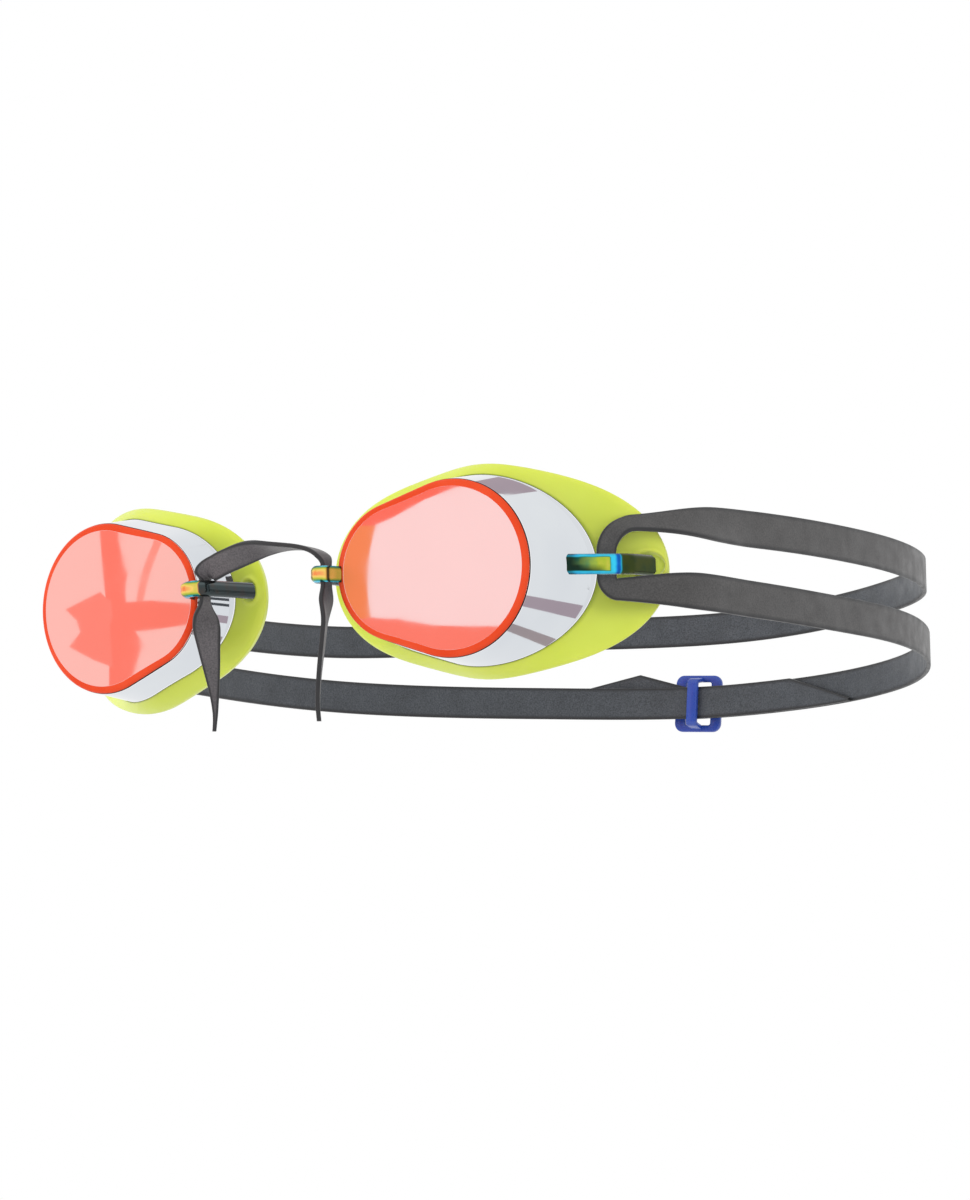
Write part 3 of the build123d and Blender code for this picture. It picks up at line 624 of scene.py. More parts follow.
def flange_y_at(side, x):
    """Depth of the flange's front face at x, on the temple side (+1) or the nose side (-1)."""
    angle = np.array([0.0 if side > 0 else np.pi])
    (wall_r,), (wall_y,) = flange_line(angle, 0)
    (edge_r,), (edge_y,) = flange_line(angle, 1)
    reach = abs(x - RING_CENTRE_X)
    return wall_y + (edge_y - wall_y) * (reach - wall_r) / (edge_r - wall_r)


def nose_slot_x():
    """x of the middle of the nose strap where it passes through its slot."""
    return wall_x(-1, NOSE_SLOT_Y) - NOSE_STRAP_OFF


def nose_bar_sides():
    """x of the nose bar's inner and outer faces where it runs back to the flange."""
    inner_x = nose_slot_x() - NOSE_STRAP_THICK / 2 - NOSE_STRAP_CLEAR
    return inner_x, inner_x - NOSE_BAR_THICK


def temple_axis():
    """Start, unit direction and length of the temple bar's outer face."""
    start = np.array([wall_x(1, TEMPLE_BAR_START), TEMPLE_BAR_START])
    run = np.array(TEMPLE_BAR_CORNER) - start
    length = np.hypot(*run)
    return start, run / length, length


def even_steps(points, count):
    """The same line through points, resampled at count places an equal distance apart."""
    reach = np.concatenate([[0], np.cumsum(np.linalg.norm(np.diff(points, axis=0), axis=1))])
    want = np.linspace(0, reach[-1], count)
    return np.stack([np.interp(want, reach, points[:, k]) for k in range(points.shape[1])], -1)


def make_bar(name, outer, outer_cuts, inner, inner_cuts, mark, height, lift, chamfer, film, side):
    """A moulded handle between two plan lines, with chamfers along its outer face.

    film gets, for each point, how far along the outer line it lies from the corner numbered mark.

    At each station the section runs from the outer line to the inner one, its height shrinking
    towards the outer face over the chamfer and rounded at the inner face.
    """
    steps = np.linalg.norm(np.diff(np.array(outer, float), axis=0), axis=1)
    outer = rounded(np.array(outer)[:, None, :], outer_cuts, 10)[:, 0]
    inner = rounded(np.array(inner)[:, None, :], inner_cuts, 10)[:, 0]
    outer, inner = even_steps(outer, 70), even_steps(inner, 70)
    depth = np.array([0, 0, 0, 0, 0.10, 0.35, 0.5, 0.7, 0.9, 1.0, 1.0, 1.0, 1.0, 0.9, 0.7, 0.5, 0.35,
                      0.10, 0, 0])
    half = np.array([0.2, 0, -0.2, -0.6, -0.78, -1, -1, -1, -0.9, -0.7, -0.2, 0.2, 0.7, 0.9, 1, 1, 1,
                     0.78, 0.6, 0.4])
    half = np.sign(half) * np.where(np.abs(half) < 1, np.abs(half) ** chamfer, 1)
    plan = outer[:, None] + (inner - outer)[:, None] * depth[None, :, None]
    z = np.broadcast_to(lift + height / 2 * half, plan.shape[:2])
    grid = np.stack([plan[..., 0], plan[..., 1], z], -1)
    along = np.linspace(0, steps.sum(), len(outer))[:, None] - steps[:mark].sum() + 0 * depth
    # film gives each point its hue and its painted shade.
    value, dark = film(along, half[None] + 0 * along, depth[None] + 0 * along)
    return shell_mesh(name, eye_to_frame(grid, side), (FILM,), traits={"film": value, "dark": dark}, sharp=50)


def temple_film(along, height, depth):
    """Film and painted shade of the temple handle, by the distance along it from its corner.

    The face runs from dark green at the wall, near-black there under painted shade, to yellow-green, and ends
    in a cyan and a blue band before the corner. The chamfers are cyan, and the leg behind the corner is dark
    olive under painted shade.
    """
    bevel = smooth((np.abs(height) - 0.62) / 0.12)
    band, blue, leg = smooth((along + 2.6) / 0.5), smooth((along + 1.3) / 0.3), smooth((along + 0.3) / 0.3)
    face = 0.44 + 0.115 * smooth((along + 9.0) / 4.0)
    value = face + (0.27 - face) * np.maximum(bevel, band)
    value = value + (0.09 - value) * blue
    value = value + (0.52 - value) * leg
    # Painted shade: dark makes the face near-black near the wall and darker on its lower half there. It also
    # darkens the chamfers near the wall, the leg, and the faces behind the outer one.
    low = smooth((-height - 0.05) / 0.4) * (1 - smooth((along + 5.0) / 2.5))
    dark = np.clip(1.0 - smooth((along + 11.2) / 6.5) + 0.7 * low, 0, 0.93) * (1 - bevel) * (1 - band)
    dark = dark + 0.55 * bevel * (1 - smooth((along + 10.5) / 1.5)) + 0.90 * leg
    return np.clip(value, 0, 1), np.clip(dark + 0.5 * smooth((depth - 0.08) / 0.12) * (1 - leg), 0, 0.94)


def nose_film(along, height, depth):
    """Film and painted shade of the nose handle, by the distance along it from the knob's tip.

    Gold and orange lie on the knob, cyan along its edges; painted shade makes its stem and the bar behind it
    dark, with a painted highlight streak along the bar.
    """
    edge = np.abs(height)
    knob = np.exp(-(((along + 0.2) / 1.9) ** 4))
    value = 0.64 + 0.19 * knob * (1 - smooth((edge - 0.15) / 0.35)) - 0.38 * smooth((edge - 0.62) / 0.25)
    # Painted shade: near-black on the stem and lighter again where it meets the rim. It is dark on the bar,
    # except for a painted highlight streak along its upper half, and darker on the faces behind the outer
    # one.
    stem = smooth((-2.2 - along) / 0.25) * (1 - 0.75 * smooth((-3.2 - along) / 0.3))
    bar = smooth((along - 2.7) / 0.4)
    value = value + (1.0 - value) * bar
    dark = 0.92 * stem + bar * (0.90 - 0.12 * np.exp(-(((height - 0.5) / 0.12) ** 2)))
    return np.clip(value, 0.05, 1), np.clip(dark + 0.3 * smooth((depth - 0.3) / 0.3) * (1 - bar), 0, 0.94)


def make_temple_bar(side, name):
    """The handle from the side wall to the gasket, round which the head strap is looped."""
    start, run, _ = temple_axis()
    slope = run[1] / run[0]
    corner = np.array(TEMPLE_BAR_CORNER)
    inner_start = TEMPLE_BAR_START + TEMPLE_BAR_THICK / run[0]
    leg_out, leg_in = corner[0] + TEMPLE_LEG_OUT, corner[0] + TEMPLE_LEG_OUT - TEMPLE_BAR_THICK
    inner_y = corner[1] - TEMPLE_CORNER_CUT * slope + TEMPLE_BAR_THICK / run[0]
    inner_corner = np.array([corner[0] - TEMPLE_CORNER_CUT, inner_y])
    outer = [start - BAR_SINK * np.array([1, slope]), corner, corner + np.array(TEMPLE_ELBOW),
             (leg_out, flange_y_at(1, leg_out) + BAR_SINK)]
    inner = [(wall_x(1, inner_start) - BAR_SINK, inner_start - BAR_SINK * slope), inner_corner,
             inner_corner + np.array([TEMPLE_CORNER_CUT, TEMPLE_ELBOW[1]]),
             (leg_in, flange_y_at(1, leg_in) + BAR_SINK)]
    return make_bar(name, outer, (0, 0.9, 0.9, 0), inner, (0, 0.6, 0.6, 0), 1,
                    TEMPLE_BAR_HEIGHT, TEMPLE_BAR_LIFT, 1.0, temple_film, side)


def make_nose_bar(side, name):
    """The small handle of the nose strap: a rounded knob ahead of the rim and a bar to the gasket."""
    knob_x, knob_y = NOSE_KNOB
    inner_x, outer_x = nose_bar_sides()
    rim = wall_x(-1, 0)
    slot_front = NOSE_SLOT_Y - NOSE_SLOT_WIDTH / 2 - NOSE_STRAP_CLEAR
    outer = [(rim + 1.2, 0.6), (rim - 0.1, knob_y - 0.6 * NOSE_KNOB_R), (knob_x, knob_y - NOSE_KNOB_R),
             (knob_x - 0.8 * NOSE_KNOB_R, knob_y - 0.5 * NOSE_KNOB_R), (outer_x, knob_y + NOSE_KNOB_R),
             (outer_x, flange_y_at(-1, outer_x) + BAR_SINK)]
    inner = [(rim + 0.9, 1.9), (rim - NOSE_STEM_SET, slot_front),
             (inner_x + NOSE_STEM_SET, slot_front - NOSE_STEM_SET), (inner_x, slot_front),
             (inner_x, flange_y_at(-1, inner_x) + BAR_SINK)]
    return make_bar(name, outer, (0, 0.9, 0.9, 0.8, 1.0, 0), inner, (0, 0.5, 0.3, 0.3, 0), 2,
                    NOSE_BAR_HEIGHT, 0.0, 1.3, nose_film, side)


# ---- straps --------------------------------------------------------------------------------------
CORNER_R = 0.28          # rounding of a strap's cut edges
SHADED_EDGE = 0.58         # a strap has painted shade this near to its cut edges
FACE_STEPS = 10


def band_section():
    """Section of a flat band as weights of (half width - r, r) across and (half thickness - r, r) through."""
    turn = np.linspace(0, np.pi / 2, 4)
    rows = []
    for a, b, first in ((1, 1, 0.0), (-1, 1, np.pi / 2), (-1, -1, np.pi), (1, -1, 1.5 * np.pi)):
        for angle in turn + first:
            rows.append((a, np.cos(angle), b, np.sin(angle)))
        edge = np.linspace(a, -a, FACE_STEPS + 1)[1:-1] if a == b else ()
        rows += [(place, 0, b, b) for place in edge]
    return np.array(rows)


def make_band(name, stations, material):
    """A flat band carried along its stations: middle, across, through, width and thickness."""
    middle, across, through, width, thick = stations
    a0, a1, b0, b1 = band_section().T
    r = np.minimum(CORNER_R, 0.45 * np.minimum(width, thick))[:, None]
    wide = a0 * (width[:, None] / 2 - r) + a1 * r
    deep = b0 * (thick[:, None] / 2 - r) + b1 * r
    grid = middle[:, None] + across[:, None] * wide[..., None] + through[:, None] * deep[..., None]
    # Painted shade weight: 0 across the middle of the band, 1 at its cut edges.
    edge_shade = np.clip(1.6 * (np.abs(wide) - (width[:, None] / 2 - SHADED_EDGE)) / 0.42, 0, 1)
    inner_face = np.clip(0.5 - deep / thick[:, None] * 1.2, 0, 1)
    return shell_mesh(name, grid, (material,), traits={"edge_shade": edge_shade, "inner_face": inner_face},
                      sharp=60)


def chain(*parts):
    """Stations joined end to end, without the repeated one at each join."""
    return tuple(np.concatenate([part[k] if n == 0 else part[k][1:] for n, part in enumerate(parts)])
                 for k in range(5))


def backwards(stations):
    """The same stations in the opposite order."""
    return tuple(part[::-1] for part in stations)


def within(stations, keep):
    """Some of the stations, picked by a slice."""
    return tuple(part[keep] for part in stations)


def rolled(stations, degrees):
    """Stations turned about their own way along by an angle that differs from one to the next."""
    middle, across, through, width, thick = stations
    turn = np.radians(degrees)[:, None]
    return (middle, across * np.cos(turn) + through * np.sin(turn),
            through * np.cos(turn) - across * np.sin(turn), width, thick)


def loop_point(turn):
    """Plan of the head loop's +X half: x = a sin^(2/n), y = widest + b cos^(2/n)."""
    angle = np.pi * np.asarray(turn, float)
    x = LOOP_HALF_WIDTH * np.maximum(np.sin(angle), 0) ** (2 / LOOP_POWER)
    reach = np.where(np.asarray(turn) < 0.5, -LOOP_FRONT, LOOP_BACK)
    return np.stack([x, LOOP_WIDEST_Y + reach * np.abs(np.cos(angle)) ** (2 / LOOP_POWER)], -1)


def temple_exit():
    """Middle of the band behind the left temple bar, and the level direction in which it leaves."""
    start, run, length = temple_axis()
    middle = length - STRAP_CORNER_ROOM - STRAP_BAR_WIDTH / 2
    behind = TEMPLE_BAR_THICK + STRAP_SLACK + STRAP_THICK / 2
    place = start + run * middle + np.array([-run[1], run[0]]) * behind
    here, ahead = eye_to_frame(np.array([[*place, TEMPLE_BAR_LIFT], [*(place + run), TEMPLE_BAR_LIFT]]), 1)
    way = ahead - here
    way[2] = 0
    return here, unit(way)


def temple_turn(sign):
    """Stations from behind the left bar to the upper (+1) or lower (-1) run: a straight, then an
    ellipse quarter in the upright plane through the bar."""
    here, way = temple_exit()
    straight = TEMPLE_BAR_HEIGHT / 2 + STRAP_CLEAR
    rise = (TEMPLE_RISE if sign > 0 else TEMPLE_DROP) * STRAP_BAR_WIDTH
    reach = (TEMPLE_RISE_REACH if sign > 0 else TEMPLE_DROP_REACH) * STRAP_BAR_WIDTH
    out = np.cross(way, UP)
    lift = np.linspace(0, straight, 5)[:-1]
    angle = np.linspace(0, np.pi / 2, 26)[:, None]
    bend = way * (reach * (1 - np.cos(angle))) + UP * sign * (straight + rise * np.sin(angle))
    middle = here + np.concatenate([UP * sign * lift[:, None], bend])
    along = unit(way * (reach * np.sin(angle)) + UP * (sign * rise * np.cos(angle)))
    along = np.concatenate([np.tile(UP * sign, (4, 1)), along])
    across = unit(np.cross(out, along)) * -sign
    return middle, across, np.tile(out, (len(middle), 1))


def heights(sign, side):
    """Heights of a run from this side's temple to the back middle."""
    values = UPPER_HEIGHTS if sign > 0 else LOWER_HEIGHTS
    half = len(values) // 2 + 1
    return values[:half] if side < 0 else values[::-1][:half]


def eased_curve(share, values):
    """A smooth curve through evenly spaced values: Hermite pieces with the slope of their neighbours."""
    values = np.asarray(values, float)
    slope = np.gradient(values)
    slope[-1] = 0
    place = np.clip(share, 0, 1) * (len(values) - 1)
    n = np.minimum(place.astype(int), len(values) - 2)
    t = place - n
    return ((2 * t**3 - 3 * t**2 + 1) * values[n] + (t**3 - 2 * t**2 + t) * slope[n]
            + (3 * t**2 - 2 * t**3) * values[n + 1] + (t**3 - t**2) * slope[n + 1])


def gasket_shoulder(way):
    """Plan place where the band passes the temple end of the left gasket, clear of it."""
    reach, depth = gasket_edge(np.zeros(1))
    tip = eye_to_frame(np.array([RING_CENTRE_X + reach[0], depth[0], 0.0]), 1)
    return tip[:2] + np.array([way[1], -way[0]]) * SHOULDER_CLEAR


def hermite(start, end, start_slope, end_slope, steps):
    """Cubic from start to end: (2t^3-3t^2+1) a + (t^3-2t^2+t) m + (3t^2-2t^3) b + (t^3-t^2) n."""
    t = np.linspace(0, 1, steps)[:, None]
    return ((2 * t**3 - 3 * t**2 + 1) * start + (t**3 - 2 * t**2 + t) * start_slope
            + (3 * t**2 - 2 * t**3) * end + (t**3 - t**2) * end_slope)


def half_run(side, sign, shift):
    """Stations from behind one temple bar to the back middle along the upper (+1) or lower (-1) run."""
    turn_middle, turn_across, turn_out = temple_turn(sign)
    _, way = temple_exit()
    lead_start, join = turn_middle[-1, :2], loop_point(LOOP_START)
    onward = unit(loop_point(LOOP_START + 0.01) - join)
    shoulder = gasket_shoulder(way)
    near, far = np.linalg.norm(shoulder - lead_start), np.linalg.norm(join - shoulder)
    passing = unit((shoulder - lead_start) / near * far + (join - shoulder) / far * near)
    lead = np.concatenate([hermite(lead_start, shoulder, near * way[:2], near * passing, 14),
                           hermite(shoulder, join, far * passing, far * onward, 26)[1:]])
    loop = loop_point(LOOP_START + (1 - LOOP_START) * np.linspace(0, 1, 181)[1:])
    plan = even_steps(np.concatenate([lead, loop]), 200)
    reach = np.linspace(0, 1, 200)
    total = np.linalg.norm(np.diff(plan, axis=0), axis=1).sum()
    along = unit(np.gradient(plan, axis=0))
    along[0], along[-1] = way[:2], (-1, 0)
    out = np.stack([along[:, 1], -along[:, 0], 0 * reach], -1)
    z = eased_curve(reach, (turn_middle[-1, 2], *heights(sign, side)))
    middle = np.concatenate([plan, z[:, None]], 1) + out * (shift * smooth(2 * reach - 0.6))[:, None]
    spread = smooth((reach * total + 6) / STRAP_SPREAD)
    width = STRAP_BAR_WIDTH + (STRAP_WIDTH - STRAP_BAR_WIDTH) * spread
    turn_width = np.full(len(turn_middle), STRAP_BAR_WIDTH) + (width[0] - STRAP_BAR_WIDTH) * \
        smooth(np.linspace(-1, 1, len(turn_middle)))
    level = np.tile(UP * -sign, (len(plan), 1))
    stations = chain(
        (turn_middle, turn_across, turn_out, turn_width, np.full(len(turn_middle), STRAP_THICK)),
        (middle, level, out, width, np.full(len(plan), STRAP_THICK)),
    )
    if side < 0:
        flip = np.array([-1, 1, 1])
        stations = (stations[0] * flip, stations[1] * flip, stations[2] * flip, *stations[3:])
    return stations


def distance_along(stations):
    """Distance of each station from the first, along the band."""
    step = np.linalg.norm(np.diff(stations[0], axis=0), axis=1)
    return np.concatenate([[0], np.cumsum(step)])


def temple_roll(stations):
    """Degrees by which the upper run leans its top edge inwards, most at a short way past the bar."""
    reach = distance_along(stations)
    return TEMPLE_ROLL * smooth((reach - 4) / 6) * (1 - smooth((reach - 10) / 36))


def build_runs():
    """The four half runs by (side, sign): the lower ones lie in two layers, the upper ones are rolled."""
    layer = (STRAP_THICK + LAYER_GAP) / 2
    runs = {}
    for side in (1, -1):
        upper = half_run(side, 1, 0)
        runs[side, 1] = rolled(upper, temple_roll(upper))
        runs[side, -1] = half_run(side, -1, layer * side)
    return runs


def back_at(run, x):
    """Middle and outward direction of a lower run where it crosses one x near the back."""
    middle, _, out, _, _ = within(backwards(run), slice(0, 120))
    order = np.argsort(np.abs(middle[:, 0]))
    place = np.abs(middle[order, 0])
    spot = np.stack([np.interp(np.abs(x), place, middle[order, k]) for k in range(3)], -1)
    spot[..., 0] = x
    facing = np.stack([np.interp(np.abs(x), place, out[order, k]) for k in range(3)], -1)
    return spot, unit(facing)


def long_tail():
    """The inner free end from the back middle on, inside the outer layer; its cut leaves the lower edge."""
    free = np.linspace(-BUCKLE_X, TAIL_LONG, 60)
    width = np.minimum(STRAP_WIDTH, CUT_TIP + (STRAP_WIDTH - CUT_TIP) * (TAIL_LONG - free) / TAIL_LONG_CUT)
    spot, out = back_at(half_run(1, -1, -(STRAP_THICK + LAYER_GAP) / 2), BUCKLE_X + free)
    spot = spot - UP * ((STRAP_WIDTH - width) / 2)[:, None]
    return spot, np.tile(UP, (60, 1)), out, width, np.full(60, STRAP_THICK)


def short_tail():
    """The outer free end: past the buckle it points up, behind the other layer, and its cut is slanted."""
    run = half_run(-1, -1, (STRAP_THICK + LAYER_GAP) / 2)
    level_x = np.linspace(0, BUCKLE_X, 16)
    spot, out = back_at(run, level_x)
    level = np.tile(UP, (16, 1))
    lead = spot, level, out, np.full(16, STRAP_WIDTH), np.full(16, STRAP_THICK)
    reach = np.linspace(0, TAIL_SHORT, 50)
    ahead = unit(np.cross(UP, out[-1]))
    tilt = (np.radians(TAIL_RISE) * smooth(reach / 5))[:, None]
    along = ahead * np.cos(tilt) + UP * np.sin(tilt)
    across = UP * np.cos(tilt) - ahead * np.sin(tilt)
    line = spot[-1] + np.cumsum(along * reach[1], axis=0) - along[0] * reach[1]
    cut = np.clip((reach - TAIL_SHORT + TAIL_SHORT_CUT) / TAIL_SHORT_CUT, 0, 1)
    width = STRAP_WIDTH + (CUT_TIP - STRAP_WIDTH) * cut
    line = line - across * ((STRAP_WIDTH - width) / 2)[:, None]
    free = line, across, np.tile(out[-1], (50, 1)), width, np.full(50, STRAP_THICK)
    return chain(lead, free)


def split_index(stations):
    """Index of the station where the temple piece ends and the back piece begins."""
    return int(np.argmax(stations[0][:, 1] > STRAP_CUT_Y))


def front_part(runs, side):
    """Stations of one temple piece: down the upper run, behind the bar and out along the lower run."""
    upper, lower = (within(runs[side, sign], slice(0, split_index(runs[side, sign]) + 1)) for sign in (1, -1))
    return chain(backwards(upper), lower)


def back_parts(runs):
    """Stations behind the splits: the upper run, the right lower run with its tail, the left one with its."""
    rest = {key: within(run, slice(split_index(run), None)) for key, run in runs.items()}
    upper = chain(rest[-1, 1], backwards(rest[1, 1]))
    return upper, chain(rest[-1, -1], long_tail()), chain(rest[1, -1], short_tail())


# ---- nose strap ----------------------------------------------------------------------------------
def nose_width(share):
    """Width of the nose strap: gathered in the slot (0), full a little further on."""
    return NOSE_SLOT_WIDTH + (NOSE_STRAP_WIDTH - NOSE_SLOT_WIDTH) * smooth(share / NOSE_SPREAD)


def nose_arch(slot, straight):
    """The arch over the nose, a superellipse: on edge at the right eye and flat at the left."""
    angle = np.linspace(0, np.pi, 161)
    bend = np.abs(np.cos(angle)) ** (2 / NOSE_ARCH_POWER) * np.sign(-np.cos(angle))
    rise = np.maximum(np.sin(angle), 0) ** (2 / NOSE_ARCH_POWER)
    line = np.stack([slot[0] * bend, slot[1] + 0 * angle, slot[2] + straight + NOSE_ARCH * rise], -1)
    line = even_steps(line, 110)
    share = np.linspace(0, 1, 110)
    line[:, 2] -= NOSE_ARCH_SAG * smooth(share / 0.15) * (1 - smooth((share - 0.2) / 0.3))
    along = unit(np.gradient(line, axis=0))
    along[0], along[-1] = UP, -UP
    level = np.cross(along, BACK)
    share = share[:, None]
    turned = smooth(share / 0.06) * (1 - smooth((share - 0.10) / 0.65))
    through = level * (1 - turned) + FACING * turned
    through = unit(through - along * np.sum(through * along, -1, keepdims=True))
    width = nose_width(np.minimum(2.5 * share, 1 - share)[:, 0] * 2)
    return line, np.cross(through, along), through, width, np.full(110, NOSE_STRAP_THICK)


def nose_tail(slot, straight, side, twist):
    """One hanging tail from above the slot down: it turns about its length and narrows to its tip."""
    drop = np.linspace(-2 * straight, NOSE_TAIL, 90)
    share = np.maximum(drop / NOSE_TAIL, 0)
    turn = np.radians(twist) * smooth(share / 0.3)
    across = np.stack([np.sin(turn), np.cos(turn), 0 * turn], -1)
    curl = NOSE_TAIL_CURL * smooth((share - 0.85) / 0.3)
    lean = side * (slot[0] - NOSE_TAIL_LEAN * smooth(share / 0.9) + curl)
    line = np.stack([lean, slot[1] + 0 * turn, slot[2] - straight - drop], -1)
    taper = smooth((share - 0.2) / 0.8)
    bulge = NOSE_TAIL_BULGE * np.exp(-(((share - 0.2) / 0.12) ** 2))
    width = (nose_width(share) + bulge) * (1 - taper) + NOSE_TAIL_TIP * taper
    return line, across, np.cross(UP * -side, across), width, np.full(90, NOSE_STRAP_THICK)


def nose_line():
    """Stations of the whole strip: right tail, right slot, arch, left slot, left tail."""
    slot = eye_to_frame(np.array([nose_slot_x(), NOSE_SLOT_Y, 0.0]), 1)
    straight = NOSE_BAR_HEIGHT / 2 + NOSE_STRAP_CLEAR
    right = nose_tail(slot, straight, -1, RIGHT_TAIL_TWIST)
    left = nose_tail(slot, straight, 1, LEFT_TAIL_TWIST)
    return chain(backwards(right), nose_arch(slot, straight), left)


# ---- buckle --------------------------------------------------------------------------------------
def outline_round(width, height, corner, steps=8):
    """A rectangle with round corners, in order round its middle, starting at the right."""
    rows = []
    for a, b, first in ((1, 1, 0.0), (-1, 1, np.pi / 2), (-1, -1, np.pi), (1, -1, 1.5 * np.pi)):
        angle = np.linspace(first, first + np.pi / 2, steps)
        rows.append(np.stack([a * (width / 2 - corner) + corner * np.cos(angle),
                              b * (height / 2 - corner) + corner * np.sin(angle)], -1))
    return np.concatenate(rows)


def ring_plate(outer, inner, front, back, edge):
    """A flat frame between two outlines, from y = front to y = back, its four long edges rounded."""
    corners = np.stack([
        np.concatenate([outer, np.full((len(outer), 1), front)], 1),
        np.concatenate([outer, np.full((len(outer), 1), back)], 1),
        np.concatenate([inner, np.full((len(inner), 1), back)], 1),
        np.concatenate([inner, np.full((len(inner), 1), front)], 1),
    ])
    rows = rounded(corners, (edge,) * 4, 5, ring=True)
    return rows[..., [0, 2, 1]]


def make_buckle():
    """Frame with three uprights: the outer two behind the strap, the middle one proud of it."""
    gap = 2 * STRAP_THICK + LAYER_GAP + 2 * BUCKLE_CLEAR
    slot_height = STRAP_WIDTH + BUCKLE_ROOM
    height = slot_height + 2 * BUCKLE_RAIL
    depth = gap / 2 + BUCKLE_THICK / 2
    outer = outline_round(BUCKLE_WIDTH, height, BUCKLE_CORNER)
    inner = outline_round(BUCKLE_WIDTH - 2 * BUCKLE_BAR, slot_height, 0.5)
    plate = ring_plate(outer, inner, gap / 2, gap / 2 + BUCKLE_THICK, 0.32)
    (middle,), (out,) = back_at(half_run(-1, -1, 0), np.array([BUCKLE_X]))
    axes = np.stack([np.cross(out, UP), out, UP])
    tilt = turn_matrix("Y", BUCKLE_TILT)

    t = np.linspace(0, 1, 60)
    lift = smooth((0.5 - np.abs(t - 0.5)) / 0.09)
    line = np.stack([0 * t, depth - 2 * depth * lift, (2 * t - 1) * (height - BUCKLE_RAIL) / 2], -1)
    sideways = np.array([1.0, 0, 0])
    through = unit(np.cross(unit(np.gradient(line, axis=0)), sideways))
    section = outline_round(BUCKLE_BAR, BUCKLE_THICK, 0.3, 5)
    bridge = line[:, None] + sideways * section[None, :, :1] + through[:, None] * section[None, :, 1:]
    pieces = [shell_mesh(name, grid @ tilt.T @ axes + middle, (BLUE,), ring=ring, sharp=50)
              for name, grid, ring in (("plate", plate, True), ("bridge", bridge, False))]
    return joined("buckle_body", pieces)


# ---- pieces on their bodies ----------------------------------------------------------------------
for side, word in ((1, "left"), (-1, "right")):
    body = f"{word}_eyepiece"
    for piece in (make_lens_cup(side, f"{word}_cup_shell"), make_temple_bar(side, f"{word}_temple_handle"),
                  make_nose_bar(side, f"{word}_nose_handle")):
        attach(piece, body)
        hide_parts(f"{word}_lens_cup")
        piece.visible_glossy = "handle" not in piece.name
    seal = make_gasket(side, f"{word}_seal")
    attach(seal, body)
    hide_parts(f"{word}_gasket")
    seal.visible_glossy = False

runs = build_runs()
for side, word in ((1, "left"), (-1, "right")):
    piece = make_band(f"strap_{word}_temple", front_part(runs, side), BAND_LATEX)
    piece.visible_glossy = False
    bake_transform(piece)
    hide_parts("head_strap")

strap_back = joined("strap_back", [make_band(f"strap_{n}", stations, BAND_LATEX)
                                   for n, stations in enumerate(back_parts(runs))])
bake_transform(strap_back)
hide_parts("head_strap")

strip = nose_line()
bridge_index = int(np.argmax(strip[0][:, 0] >= 0))
for side, word, half in ((1, "left", slice(bridge_index, None)), (-1, "right", slice(0, bridge_index + 1))):
    piece = make_band(f"nose_strap_{word}", within(strip, half), NOSE_LATEX)
    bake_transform(piece)
    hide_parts("nose_strap")

buckle = make_buckle()
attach(buckle, "buckle")
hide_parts("buckle")


# ---- floor, light and camera ---------------------------------------------------------------------
FLOOR_Z = -0.45


def make_floor():
    """Wide pale floor below the goggles."""
    size = 6.0
    mesh = bpy.data.meshes.new("floor")
    mesh.from_pydata([(-size, -size, FLOOR_Z), (size, -size, FLOOR_Z), (size, size, FLOOR_Z),
                      (-size, size, FLOOR_Z)], [], [(0, 1, 2, 3)])
    floor = bpy.data.objects.new("floor", mesh)
    bpy.context.scene.collection.objects.link(floor)
    finish = Finish("floor_white", Roughness=0.8)
    shades = [(0.3, (0.80, 0.80, 0.80)), (0.7, (0.84, 0.84, 0.84))]
    finish.feed("Base Color", finish.ramp(finish.noise(3, 2), shades))
    mesh.materials.append(finish.material)
    floor.visible_glossy = False


def make_world():
    """White where it is seen or mirrored, and a soft even light elsewhere."""
    world = bpy.data.worlds.new("studio")
    bpy.context.scene.world = world
    world.use_nodes = True
    nodes, links = world.node_tree.nodes, world.node_tree.links
    nodes.clear()
    path = nodes.new("ShaderNodeLightPath")
    seen = nodes.new("ShaderNodeMath")
    seen.operation = "MAXIMUM"
    links.new(path.outputs["Is Camera Ray"], seen.inputs[0])
    links.new(path.outputs["Is Glossy Ray"], seen.inputs[1])
    also = nodes.new("ShaderNodeMath")
    also.operation = "MAXIMUM"
    links.new(seen.outputs[0], also.inputs[0])
    links.new(path.outputs["Is Transmission Ray"], also.inputs[1])
    light, white, mix = (nodes.new(f"ShaderNode{kind}") for kind in ("Background", "Background", "MixShader"))
    light.inputs["Color"].default_value = (1, 1, 1, 1)
    light.inputs["Strength"].default_value = 0.72
    white.inputs["Color"].default_value = (1, 1, 1, 1)
    white.inputs["Strength"].default_value = 1.0
    links.new(also.outputs[0], mix.inputs["Fac"])
    links.new(light.outputs[0], mix.inputs[1])
    links.new(white.outputs[0], mix.inputs[2])
    links.new(mix.outputs[0], nodes.new("ShaderNodeOutputWorld").inputs["Surface"])


def add_softbox(name, place, aim, size, watts):
    """A square lamp at a place, turned to face a point. No mirror shows it."""
    lamp = bpy.data.lights.new(name, "AREA")
    lamp.shape, lamp.size, lamp.energy = "SQUARE", size, watts
    softbox = bpy.data.objects.new(name, lamp)
    softbox.location = place
    softbox.rotation_euler = (Vector(aim) - Vector(place)).to_track_quat("-Z", "Y").to_euler()
    softbox.visible_glossy = False
    bpy.context.scene.collection.objects.link(softbox)


